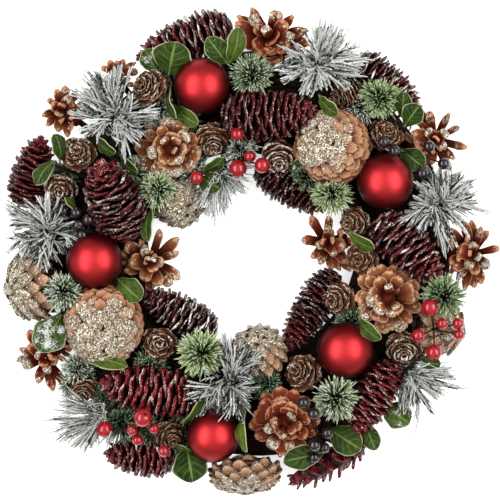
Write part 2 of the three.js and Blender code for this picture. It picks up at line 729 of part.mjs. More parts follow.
// A tuft or brush of needles: each face of a slim core is drawn out to a needle's point. The needles lean
// towards the core's axis by `sweep`, and are shorter, or missing, where something else is in the way.
function needleBurst(owner, foot, axis, { around, rows, radius, halfLength, reach, sweep }) {
  const turn = new THREE.Quaternion().setFromUnitVectors(UP, axis);
  const core = needleCore({ around, rows, radius, halfLength }).applyQuaternion(turn);
  core.translate(foot.x, foot.y, foot.z);
  const position = core.getAttribute("position");
  const points = [];
  for (let i = 0; i < position.count; i += 1) points.push(new THREE.Vector3().fromBufferAttribute(position, i));
  const index = [];
  const faces = core.index.array;
  for (let i = 0; i < faces.length; i += 3) {
    const corners = [faces[i], faces[i + 1], faces[i + 2]];
    const face = new THREE.Triangle(...corners.map((corner) => points[corner]));
    const middle = face.getMidpoint(new THREE.Vector3());
    const aim = face.getNormal(new THREE.Vector3()).lerp(axis, sweep).normalize();
    const full = reach * (0.75 + 0.25 * random());
    const share = NEEDLE_SHARES.find((part) => {
      const tip = middle.clone().addScaledVector(aim, full * part);
      return isClear(owner, tetrahedron([face.a, face.b, face.c], tip));
    });
    if (share === undefined) {
      index.push(...corners);
      continue;
    }
    const tip = middle.clone().addScaledVector(aim, full * share);
    keepSpace(owner, spike(middle, tip.clone().addScaledVector(aim, 2 * CLEARANCE), NEEDLE_SPACE));
    points.push(tip);
    const apex = points.length - 1;
    corners.forEach((corner, side) => index.push(corner, corners[(side + 1) % 3], apex));
  }
  return solidOf(new THREE.BufferGeometry().setFromPoints(points).setIndex(index));
}

// The ring and the baubles

const ring = vineRing(0);
addNode("vine_ring", ring, "vine");
keepSpace("vine_ring", vineRing(CLEARANCE));

// A bauble stands on its cap, whose foot reaches the ring.
baubles.forEach((piece, i) => {
  const name = `bauble_${i + 1}`;
  const radius = piece.radius ?? BAUBLE_RADIUS;
  const centre = spot(piece.photo, piece.z);
  const near = overRing(Math.hypot(centre.x, centre.y));
  const foot = onRing(Math.atan2(centre.x, centre.y), near, ringTop(near) - ROOT_DEPTH);
  const origin = new THREE.Vector3();
  const matrix = new THREE.Matrix4().makeTranslation(centre.x, centre.y, centre.z);
  const cap = wire([centre, foot], BAUBLE_CAP_RADIUS, 1, 5);
  const whole = union([ball(centre, radius, 10, 7), cap]);
  addNode(name, cutToFit(name, whole), "bauble", matrix);
  keepSpace(name, moved(ball(origin, radius + 2 * CLEARANCE, 10, 7), matrix));
  keepSpace(name, wire([centre, foot], BAUBLE_CAP_RADIUS + CLEARANCE, 1, 5));
});

// The wires of the picks, twigs, sprigs and sprays, which everything later is fitted round

const frames = new Map();

function layWires(name, build) {
  frames.set(name, cutToFit(name, build(WIRE_RADIUS)));
  keepSpace(name, build(WIRE_RADIUS + 2 * CLEARANCE));
}

berryPicks.forEach((pick) => {
  const [x, y, z] = pick.head;
  const head = spot([x, y], z);
  const near = overRing(Math.hypot(head.x, head.y));
  const root = onRing(compass([x, y]), near, ringTop(near) - ROOT_DEPTH);
  const grown = (grow) =>
    union([
      wire([root, head], STEM_RADIUS + grow, 1),
      ball(head, PICK_HUB + grow, 4, 2),
      ...pick.berries.flatMap(([berryX, berryY, berryZ, radius]) => {
        const centre = spot([berryX, berryY], berryZ);
        return [spike(centre, head, 2 * BERRY_STALK + 2 * grow), berry(centre, radius + grow)];
      }),
    ]);
  addNode(pick.name, cutToFit(pick.name, grown(0)), pick.colour);
  keepSpace(pick.name, grown(2 * CLEARANCE));
});

larchTwigs.forEach((twig) => {
  const loads = twig.cones.map((cone) => {
    const matrix = coneFrame(cone);
    const at = (share) => new THREE.Vector3(0, 0, share * cone.length).applyMatrix4(matrix);
    return { photo: cone.photo, path: [at(-0.3)] };
  });
  layWires(twig.name, (radius) => garlandWires(LARCH_TRACK, SPRIG_TRACK, loads, radius));
});

sprigs.forEach((sprig) => {
  const tufts = sprig.tufts.map((tuft) => ({ photo: tuft.photo, path: [spot(tuft.photo, tuft.z)] }));
  const leaves = sprig.leaves.map((row) => {
    const leaf = { ...LEAF, ...row };
    const at = (u) => new THREE.Vector3(u * leaf.length, 0, leafSurface(leaf.length, u)).applyMatrix4(leafFrame(leaf));
    return { photo: leaf.photo, path: [at(0.12)] };
  });
  layWires(sprig.name, (radius) => garlandWires(SPRIG_TRACK, LARCH_TRACK, [...tufts, ...leaves], radius));
});

sprays.forEach((spray, i) => {
  const name = `flocked_spray_${i + 1}`;
  const tip = spot(spray.photo, spray.z);
  const axis = direction(spray.heading, spray.rise);
  const neck = tip.clone().addScaledVector(axis, -SPRAY_STEM);
  const near = overRing(Math.hypot(neck.x, neck.y));
  const root = onRing(Math.atan2(neck.x, neck.y), near, ringTop(near) - ROOT_DEPTH);
  layWires(name, (radius) => wire([root, neck, tip], radius + STEM_RADIUS - WIRE_RADIUS, 2));
});

// The cones, the ones nearest the viewer first

const rosettes = openCones.filter((cone) => cone.open === 1);
const sideCones = openCones.filter((cone) => cone.open !== 1);

rosettes.forEach((cone, i) => placeCone(`rosette_cone_${i + 1}`, cone, openCone(cone), "openCone"));
glitterCones.slice(0, 2).forEach((cone, i) => {
  placeCone(`glitter_cone_${i + 1}`, cone, scalyCone(cone, SCALES.glitter), "glitterCone");
});
redCones.forEach((cone, i) => placeCone(`red_cone_${i + 1}`, cone, scalyCone(cone, SCALES.red), "redCone"));
glitterCones.slice(2).forEach((cone, i) => {
  placeCone(`glitter_cone_${i + 3}`, cone, scalyCone(cone, SCALES.glitter), "glitterCone");
});
sideCones.forEach((cone, i) => placeCone(`open_cone_${i + 1}`, cone, openCone(cone), "openCone"));

larchTwigs.forEach((twig) => {
  const cones = twig.cones.map((cone) => {
    const matrix = coneFrame(cone);
    const shape = scalyCone(cone, SCALES.larch);
    const cut = cutToFit(twig.name, moved(shape, matrix));
    keepSpace(twig.name, caseAround(shape, matrix));
    return cut;
  });
  addNode(twig.name, union([frames.get(twig.name), ...cones]), "larch");
});

// Leaves, then the needles that fill what is left

const blades = new Map();
sprigs.forEach((sprig) => {
  const kept = sprig.leaves.map((row) => {
    const leaf = { ...LEAF, ...row };
    const matrix = leafFrame(leaf);
    const cut = cutToFit(sprig.name, moved(leafBlade(leaf, 0), matrix));
    keepSpace(sprig.name, moved(leafBlade(leaf, 1.5 * CLEARANCE), matrix));
    return cut;
  });
  blades.set(sprig.name, kept);
});

sprigs.forEach((sprig) => {
  const tufts = sprig.tufts.map((tuft) => {
    const shape = { ...TUFT_CORE, reach: tuft.radius };
    return cutToFit(sprig.name, needleBurst(sprig.name, spot(tuft.photo, tuft.z), UP, shape));
  });
  addNode(sprig.name, union([frames.get(sprig.name), ...blades.get(sprig.name), ...tufts]), "green");
});

sprays.forEach((spray, i) => {
  const name = `flocked_spray_${i + 1}`;
  const axis = direction(spray.heading, spray.rise);
  const shape = { ...SPRAY_CORE, reach: spray.reach, sweep: spray.sweep };
  const burst = needleBurst(name, spot(spray.photo, spray.z), axis, shape);
  addNode(name, union([frames.get(name), cutToFit(name, burst)]), "flock");
});

// The part's origin is under the middle of its box, on the surface it lies on.
const box = new THREE.Box3().setFromObject(wreath, true);
const middle = box.getCenter(new THREE.Vector3());
wreath.position.set(-middle.x, -middle.y, -box.min.z);

const part = new THREE.Group();
part.add(wreath);
export default part;
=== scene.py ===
"""The looks of a pinecone wreath that lies on its back.

Every piece is worked out in millimetres from the tables below and stands where the node that it replaces
does. Photograph coordinates are those of a 500 x 500 picture that looks straight down on the wreath.
"""
import math
import zlib
from typing import NamedTuple

import bpy
import numpy as np
from mathutils import Matrix, Vector


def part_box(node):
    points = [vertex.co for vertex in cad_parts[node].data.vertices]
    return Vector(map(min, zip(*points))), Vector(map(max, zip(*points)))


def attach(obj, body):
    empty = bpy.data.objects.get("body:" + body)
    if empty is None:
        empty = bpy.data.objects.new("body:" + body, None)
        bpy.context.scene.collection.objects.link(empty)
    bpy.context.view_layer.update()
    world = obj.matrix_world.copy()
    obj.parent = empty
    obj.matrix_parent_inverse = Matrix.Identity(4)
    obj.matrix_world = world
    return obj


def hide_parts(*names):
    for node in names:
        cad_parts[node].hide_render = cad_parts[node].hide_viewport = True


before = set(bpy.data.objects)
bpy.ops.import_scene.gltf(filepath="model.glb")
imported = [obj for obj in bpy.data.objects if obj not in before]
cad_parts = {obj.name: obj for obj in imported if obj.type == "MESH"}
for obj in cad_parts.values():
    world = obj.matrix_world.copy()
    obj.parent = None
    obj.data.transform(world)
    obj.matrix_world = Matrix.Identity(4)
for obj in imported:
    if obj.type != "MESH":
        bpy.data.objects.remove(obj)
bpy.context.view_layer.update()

# MM is a millimetre in metres. Sizes are in millimetres, and PHOTO_CENTRE is the ring's centre in pixels.
MM = 0.001
MM_PER_PIXEL = 0.72
PHOTO_WIDTH = 500
PHOTO_CENTRE = (250, 254)
RING_RADIUS = 111
RING_HALF_WIDTH = 38
RING_HALF_HEIGHT = 13
RING_MIDDLE_Z = 10.5
FOOTHOLD = 0.8 * RING_HALF_WIDTH
ROOT_DEPTH = 2
STALK_RADIUS = 2.2
WIRE_RADIUS = 1.1
WIRE_LIFT = 1.6
WIRE_CROSSING = 5
WIRE_STATIONS = 40
STEM_SIDES = 8
PICK_RADIUS = 1.4
BERRY_STEM_RADIUS = 0.6
# The radii of the wires that carry the larch cones and the sprigs.
LARCH_TRACK = 97
SPRIG_TRACK = 126
SPRAY_STEM = 9
SPRAY_STEM_TIP = 3
SPRAY_STEM_RADIUS = 1.5
BAUBLE_RADIUS = 20.3
FLOOR_GAP = 0.02
FLOOR_DROP = 0.2
FLOOR_HALF = 14000
UP = (0, 0, 1)
GOLDEN_ANGLE = math.pi * (3 - math.sqrt(5))


class Cone(NamedTuple):
    """photo and z are the cone's middle; it points to heading (0 right, 90 up) and rises by rise degrees.

    frost is how much white or glitter it carries and pale how light it is. rib is the distance between its
    ribs, in pixels of the photograph.
    """

    photo: tuple
    z: float
    heading: float
    rise: float
    length: float
    radius: float
    frost: float = 0.4
    pale: float = 0.4
    rib: float = 5.6


class Leaf(NamedTuple):
    """photo and z are the leaf's foot."""

    photo: tuple
    heading: float
    length: float
    width: float
    z: float = 44
    roll: float = 0
    rise: float = 20
    frost: float = 0
    pale: float = 0.15


class Tuft(NamedTuple):
    """photo and z are the tuft's middle; fresh is how bright its green is."""

    photo: tuple
    z: float
    radius: float
    fresh: float = 0.5
    frost: float = 0.3


class Spray(NamedTuple):
    """photo and z are the tip of the spray's stem, and middle is where its needles meet.

    A wisp is (heading, reach in pixels, needles, spread in degrees); stout scales the needles' thickness.
    """

    photo: tuple
    z: float
    heading: float
    rise: float
    middle: tuple
    stout: float
    frost: float
    wisps: tuple


# Each bauble's middle, as x and y in the photograph and z, and its radius.
BAUBLES = [
    ((202, 86), 46.5, BAUBLE_RADIUS),
    ((385, 182), 47, BAUBLE_RADIUS),
    ((95, 261), 47, BAUBLE_RADIUS),
    ((345, 350), 47, BAUBLE_RADIUS),
    ((213, 436), 45, 19),
]

RED_CONES = [
    Cone((184, 40), 27, 201, 0, 74, 17.5, 0.8, 0.35),
    Cone((269, 115), 44, 2, 4, 72, 19.5, 0.6, 0.3, 5.8),
    Cone((388, 84), 27, -40, 0, 62, 15.5, 1.0, 0.25, 5.3),
    Cone((31, 171), 25, 74, 8, 54, 16, 0.2, 0.3),
    Cone((114, 199), 48, 112, 30, 66, 20.5, 0.55, 0.2, 6),
    Cone((178, 313), 27, 152, 0, 62, 15, 1.15, 0.1, 5),
    Cone((148, 390), 42, 171, 0, 70, 18, 0.75, 1.0, 7),
    Cone((139, 457), 25, 176, 0, 52, 16, 0.6, 0.5, 6),
    Cone((408, 249), 43, -45, 5, 66, 18, 0.85, 0.35, 6),
    Cone((311, 311), 27, 238, 4, 68, 15, 0.6, 0.1, 5.2),
    Cone((374, 398), 39, 240, 0, 60, 15.5, 0.6, 0.6, 5.4),
    Cone((326, 465), 23, 209, 0, 64, 14, 0.1, 1.0, 7.5),
    Cone((291, 187), 22, -33, 0, 60, 15, 0.3, 0.1),
]

ROSETTE_CONES = [
    Cone((171, 148), 46, 90, 84, 36, 23, 0.8, 0.7),
    Cone((388, 298), 47, 70, 78, 38, 26, 0.5, 0.75),
    Cone((285, 422), 46, -90, 80, 38, 25.5, 0.35, 0.05),
]

# The scales of each rosette that show: x and y of the tip in the photograph, width in pixels, and glitter.
ROSETTE_SCALES = [
    [
        (145, 121, 10, 1), (167, 117, 16, 0.8), (184, 121, 16, 0.3), (198, 137, 14, 0.1),
        (201, 155, 18, 0.3), (193, 170, 15, 0.6), (174, 177, 22, 1), (156, 176, 17, 0.6),
        (140, 168, 15, 0.1), (135, 148, 18, 0), (146, 132, 11, 0.3), (160, 127, 12, 0),
        (188, 134, 15, 0.9), (148, 154, 14, 1), (162, 163, 12, 0.2), (181, 163, 12, 0.9),
        (187, 150, 12, 0.4), (163, 139, 10, 0.7), (178, 139, 11, 0.2), (176, 152, 8, 0.9),
    ],
    [
        (370, 268, 12, 0), (379, 265, 16, 0), (395, 265, 14, 0), (407, 271, 15, 0.3), (419, 283, 13, 0),
        (419, 295, 12, 0), (421, 309, 12, 0), (411, 322, 12, 0.2), (403, 331, 15, 1), (381, 333, 17, 0.3),
        (361, 319, 15, 0.7), (355, 297, 14, 0), (359, 277, 15, 0), (366, 277, 13, 0), (377, 278, 14, 0),
        (389, 271, 15, 0), (399, 277, 13, 0), (413, 287, 14, 0), (415, 299, 11, 0), (358, 300, 15, 0),
        (366, 301, 13, 0.9), (376, 313, 13, 1), (388, 284, 9, 0.6), (397, 308, 9, 0.6), (390, 316, 8, 0.8),
    ],
    [
        (262, 394, 15, 0), (279, 387, 17, 0), (295, 390, 16, 0), (308, 398, 14, 0), (320, 419, 13, 0),
        (317, 433, 13, 0), (302, 453, 17, 0.1), (283, 455, 18, 0), (270, 448, 13, 1), (256, 438, 15, 0),
        (249, 425, 13, 0), (253, 416, 16, 0), (260, 402, 17, 0), (278, 401, 16, 0), (293, 403, 13, 0.1),
        (310, 417, 13, 0), (307, 436, 13, 0), (291, 452, 10, 0.9), (264, 430, 11, 1), (272, 422, 12, 0.5),
        (293, 414, 11, 1), (294, 432, 9, 0.3), (281, 437, 10, 0.6), (301, 426, 10, 0),
    ],
]

# The red cone whose scales stand out like petals, and the open cone that opens like a flower.
PETAL_CONE = 12
FLOWER_CONE = 1

OPEN_CONES = [
    Cone((272, 38), 33, 100, 52, 44, 26, 0.6, 0.05),
    Cone((60, 109), 27, 150, 15, 38, 17, 0.4, 0.35),
    Cone((436, 139), 29, 30, 15, 46, 24, 0.7, 0.2),
    Cone((474, 254), 27, -5, 10, 42, 24, 0.7, 0.2),
    Cone((327, 243), 25, 186, 15, 36, 18, 0.5, 0.3),
    Cone((150, 262), 29, -20, 15, 44, 21, 0.6, 0.65),
    Cone((44, 359), 25, 225, 10, 40, 19, 0.9, 0.0),
    Cone((115, 72), 24, 118, 15, 30, 12, 0.3, 0.35),
]

# The scales of each other open cone: x, y, width, the tip's height over the cone's middle, and glitter.
OPEN_SCALES = [
    [
        (251, 8, 9, -2, 0.4), (250, 16, 10, 3, 0.9), (238, 15, 10, -3, 0.3), (236, 24, 14, 0, 0.1),
        (277, 11, 15, 2, 0.7), (293, 15, 10, -2, 0.2), (307, 29, 12, 0, 0.5), (309, 42, 11, -4, 0.1),
        (242, 41, 18, -2, 0), (266, 63, 26, -8, 0), (291, 54, 15, -4, 0.1), (285, 22, 13, 7, 0.2),
        (255, 27, 11, 7, 0.1), (294, 36, 11, 6, 0.8), (264, 28, 12, 12, 1), (280, 51, 26, 3, 0.1),
        (256, 50, 22, 4, 0), (275, 41, 20, 5, 0),
    ],
    [
        (41, 114, 8, -2, 0.2), (45, 124, 8, -4, 0.2), (56, 130, 10, -3, 0.1), (47, 98, 7, -3, 0.2),
        (51, 104, 11, 3, 0.1), (55, 89, 8, 0, 0.2), (65, 86, 10, 0, 0.5), (76, 92, 9, -2, 0.1),
        (69, 97, 10, 9, 0.6), (58, 115, 9, 9, 0.6), (74, 103, 10, 8, 0.1), (67, 135, 8, -2, 0.1),
        (62, 104, 9, 10, 0.1),
    ],
    [
        (421, 108, 7, -3, 0.3), (418, 119, 7, 0, 0.2), (430, 112, 9, 2, 0.5), (450, 113, 8, 0, 0.6),
        (460, 126, 7, -3, 0.8), (467, 147, 9, 0, 0.4), (447, 132, 11, 10, 1), (427, 130, 10, 9, 1),
        (413, 134, 16, 12, 0), (445, 148, 10, 12, 0.9), (455, 158, 8, -3, 0.3), (451, 169, 9, -4, 1),
        (431, 163, 11, 4, 0.3), (437, 138, 10, 12, 0), (421, 152, 10, 6, 0),
    ],
    [
        (465, 221, 10, 2, 0.3), (474, 221, 9, -2, 0.2), (483, 228, 8, 1, 0.7), (489, 231, 8, -3, 0.4),
        (500, 248, 8, -1, 0.2), (490, 267, 12, 0, 1), (484, 283, 10, -2, 0.3), (475, 287, 11, -4, 0.2),
        (466, 290, 9, -2, 0.2), (459, 279, 9, 3, 0.8), (472, 243, 10, 11, 1), (480, 258, 10, 12, 1),
        (469, 268, 10, 12, 1), (459, 250, 19, 12, 0), (452, 266, 17, 8, 0.1), (449, 229, 11, 2, 0),
        (476, 274, 10, 6, 0.1), (439, 243, 12, 1, 0),
    ],
    [
        (311, 217, 10, 0, 0.1), (303, 239, 11, -1, 0.2), (313, 258, 9, -2, 0.2), (321, 264, 9, 1, 0.6),
        (332, 269, 8, -2, 0.1), (340, 270, 8, -1, 0), (351, 270, 9, -2, 0), (328, 226, 9, 10, 0.6),
        (317, 246, 9, 7, 0.6), (335, 255, 9, 10, 0.6), (345, 246, 15, 10, 0.4), (330, 217, 9, -1, 0),
        (322, 241, 8, 12, 0.4), (347, 262, 10, 4, 0),
    ],
    [
        (178, 239, 11, 1, 0.1), (178, 253, 8, 3, 0.6), (179, 277, 13, 0, 0.5), (170, 285, 12, 1, 0.7),
        (159, 285, 12, 5, 0), (144, 280, 13, 9, 0), (130, 261, 17, 10, 0), (125, 272, 12, 4, 0),
        (127, 243, 11, 4, 0.2), (121, 252, 10, 2, 0.1), (121, 263, 9, 0, 0.2), (143, 248, 11, 11, 1),
        (151, 258, 13, 15, 1), (160, 231, 9, 0, 0.1), (148, 291, 8, -3, 0), (163, 262, 11, 9, 0.5),
        (154, 271, 11, 9, 0),
    ],
    [
        (27, 332, 10, 1, 0.3), (18, 350, 8, -1, 0.6), (16, 360, 9, 0, 1), (22, 367, 10, 0, 1),
        (36, 383, 10, 2, 0.5), (51, 391, 10, 0, 0.3), (64, 386, 9, -2, 0.1), (47, 373, 9, 8, 1),
        (36, 354, 10, 10, 0.9), (28, 346, 10, 6, 0.1), (56, 362, 10, 6, 0.2), (42, 366, 10, 9, 0),
    ],
    [
        (101, 66, 7, 0, 0.2), (108, 60, 7, 1, 0.3), (116, 60, 7, 2, 0.2), (123, 59, 8, 0, 0.3),
        (129, 64, 7, 0, 0.2), (136, 70, 8, -1, 0.5), (134, 61, 6, -1, 0.3),
    ],
]

GLITTER_CONES = [
    Cone((333, 147), 43, 90, 82, 34, 26.5),
    Cone((104, 325), 43, -60, 82, 34, 27.5),
    Cone((30, 287), 29, 187, 8, 38, 23.5, 0.8),
    Cone((245, 476), 29, -88, 8, 27, 25, 0.45),
    Cone((440, 329), 24, -14, 8, 38, 19, 0.5),
    Cone((180, 203), 30, -35, 35, 34, 17, 1.0),
    Cone((259, 350), 32, 95, 40, 32, 19, 0.6),
]

LARCH_TWIGS = {
    "upper_left": [
        Cone((147, 87), 44, 155, 48, 28, 15, frost=0.5),
        Cone((77, 153), 41, 120, 78, 26, 13.5, frost=0.5),
        Cone((60, 190), 39, -90, 75, 25, 12.5, frost=0.75),
    ],
    "top": [
        Cone((213, 142), 42, -90, 50, 30, 14, frost=0.55),
        Cone((279, 159), 39, -95, 55, 30, 14, frost=0.7),
        Cone((342, 96), 42, 205, 20, 30, 12, frost=0.3),
        Cone((386, 134), 43, 60, 65, 28, 13, frost=0.4),
    ],
    "right": [
        Cone((353, 222), 39, 190, 60, 27, 12.5, frost=0.5),
        Cone((361, 259), 41, 190, 70, 27, 12.5, frost=0.3),
        Cone((337, 299), 39, 200, 60, 32, 13, frost=0.5),
        Cone((403, 351), 40, -90, 62, 28, 14, frost=0.8),
    ],
    "lower_left": [
        Cone((301, 372), 40, 165, 55, 30, 15, frost=0.5),
        Cone((159, 344), 39, 90, 85, 27, 13.5, frost=0.7),
        Cone((170, 437), 38, -45, 60, 26, 12, frost=0.3),
        Cone((83, 390), 33, -100, 45, 27, 12, frost=0.5),
    ],
}

# Each pick has its head's x and y in the photograph and z, then the same and the radius of each berry.
BERRY_PICKS = {
    "red_berries_top": ((234, 158, 40), [
        (237, 135, 58, 4.6), (238, 169, 47, 6.4), (197, 178, 50, 4.8), (250, 157, 52, 4.2),
        (262, 166, 58, 5.6),
    ]),
    "red_berries_lower_left": ((138, 428, 43), [
        (105, 429, 46, 6.0), (144, 416, 66, 6.6), (133, 429, 57, 3.9), (155, 427, 61, 3.9),
        (138, 439, 52, 4.0), (164, 450, 53, 4.2),
    ]),
    "red_berries_right": ((433, 329, 49), [
        (429, 307, 57, 6.4), (441, 323, 57, 4.2), (457, 323, 54, 4.2), (458, 334, 53, 3.9),
        (417, 335, 57, 4.8), (433, 352, 52, 5.8),
    ]),
    "dark_berries_left": ((76, 223, 42), [
        (64, 211, 50, 4.3), (77, 213, 53, 4.3), (79, 225, 52, 4.3), (89, 220, 54, 4.3), (83, 235, 52, 4.3),
    ]),
    "dark_berries_right": ((417, 155, 42), [
        (382, 143, 62, 4.3), (393, 152, 62, 4.3), (428, 147, 54, 4.3), (443, 164, 50, 4.4),
        (421, 174, 52, 4.3),
    ]),
    "dark_berries_bottom": ((317, 434, 42), [
        (303, 401, 66, 4.4), (313, 412, 64, 4.4), (327, 432, 54, 4.4), (314, 444, 54, 4.6),
        (324, 447, 49, 4.0), (314, 457, 48, 4.0),
    ]),
}

SPRIGS = {
    "greenery_upper_left": ([
        Tuft((158, 190), 42, 13, 0.65, 0.5), Tuft((134, 172), 34, 11, 0.05, 0.6),
        Tuft((192, 171), 30, 13, 0.1, 0.6), Tuft((184, 118), 32, 11, 0.0, 0.3),
        Tuft((158, 108), 32, 11, 0.0, 1.0), Tuft((61, 176), 24, 10, 0.0, 0.3),
        Tuft((49, 212), 24, 10, 0.0, 0.8), Tuft((160, 76), 28, 9, 0.0, 0.9),
    ], [
        Leaf((169, 75), 78, 25, 31, 45), Leaf((157, 72), 118, 19, 17, 42, frost=0.6),
        Leaf((97, 136), -43, 20, 13, 48, 50), Leaf((153, 208), -98, 26, 12, 44, 40, pale=0.1),
        Leaf((60, 160), 100, 20, 14, 42, 35, pale=0.1), Leaf((54, 162), -125, 22, 15, 40, 30),
        Leaf((171, 86), -80, 26, 12, 44, 70), Leaf((176, 106), -40, 22, 14, 40, 30, pale=0.4),
        Leaf((121, 156), -45, 18, 11, 42, 40), Leaf((198, 176), -30, 20, 18, 40, pale=0.1),
        Leaf((203, 170), 30, 18, 12, 42, 40), Leaf((77, 214), 125, 15, 8, 50, 50, pale=0.1),
    ]),
    "greenery_top": ([
        Tuft((252, 76), 46, 15, 0.25, 0.5), Tuft((379, 99), 46, 14, 0.55, 0.2),
        Tuft((332, 194), 42, 14, 0.75, 0.4), Tuft((361, 106), 38, 12, 0.0, 0.9),
        Tuft((240, 150), 36, 11, 0.0, 0.9), Tuft((306, 178), 32, 11, 0.0, 0.3),
    ], [
        Leaf((227, 64), 128, 24, 18, 48, frost=0.3), Leaf((229, 64), 75, 28, 16, 47, 25, pale=0.5),
        Leaf((319, 97), -45, 20, 13, 56, 40, pale=0.4), Leaf((401, 116), 85, 18, 14, 46, pale=0.1),
        Leaf((404, 126), 55, 19, 18, 48, pale=0.05), Leaf((401, 150), -40, 22, 18, 42, pale=0.1),
        Leaf((291, 164), 20, 16, 9, 44, 40, pale=0.1),
    ]),
    "greenery_right": ([
        Tuft((442, 296), 50, 15, 0.35, 0.25), Tuft((352, 322), 32, 12, 0.0, 0.3),
    ], [
        Leaf((349, 233), -32, 22, 13, 56, 40, pale=0.4), Leaf((358, 317), -45, 23, 13, 58, 35, pale=0.4),
        Leaf((417, 362), -5, 18, 14, 38, pale=0.1),
    ]),
    "greenery_bottom": ([
        Tuft((336, 398), 48, 15.5, 0.45, 0.65), Tuft((202, 353), 46, 17, 1.0, 0.4),
        Tuft((150, 366), 32, 12, 0.05, 0.4), Tuft((122, 422), 32, 14, 0.0, 0.25),
        Tuft((186, 408), 30, 12, 0.05, 0.4), Tuft((104, 400), 28, 10, 0.0, 0.3),
        Tuft((150, 434), 30, 12, 0.0, 0.25), Tuft((181, 444), 24, 9, 0.0, 0.3),
        Tuft((233, 398), 34, 12, 0.0, 0.4), Tuft((266, 384), 32, 10, 0.0, 0.3),
    ], [
        Leaf((384, 405), -36, 24, 22, 34, pale=0.3, frost=0.5),
        Leaf((365, 424), -68, 22, 15, 30, frost=0.3), Leaf((330, 430), -32, 28, 24, 30, pale=0.2),
        Leaf((324, 452), 192, 32, 19, 36, pale=0.1), Leaf((245, 411), -88, 30, 11, 52, 50, pale=0.7),
        Leaf((187, 447), -80, 27, 28, 36, pale=0.05), Leaf((172, 440), -30, 17, 10, 34, 60, pale=0.5),
        Leaf((182, 422), 52, 30, 11, 44, 50, pale=0.6),
    ]),
    "greenery_left": ([
        Tuft((64, 292), 46, 13.5, 0.25, 0.85), Tuft((84, 246), 34, 12, 0.0, 0.3),
        Tuft((78, 370), 32, 11, 0.05, 0.8), Tuft((72, 386), 26, 9, 0.0, 0.6),
    ], [
        Leaf((118, 279), -42, 24, 20, 44, pale=0.4), Leaf((62, 315), -120, 32, 27, 42, frost=1.0),
        Leaf((84, 360), -8, 34, 15, 40, -30, pale=0.5), Leaf((88, 362), 20, 28, 11, 42, -45, pale=0.5),
    ]),
}

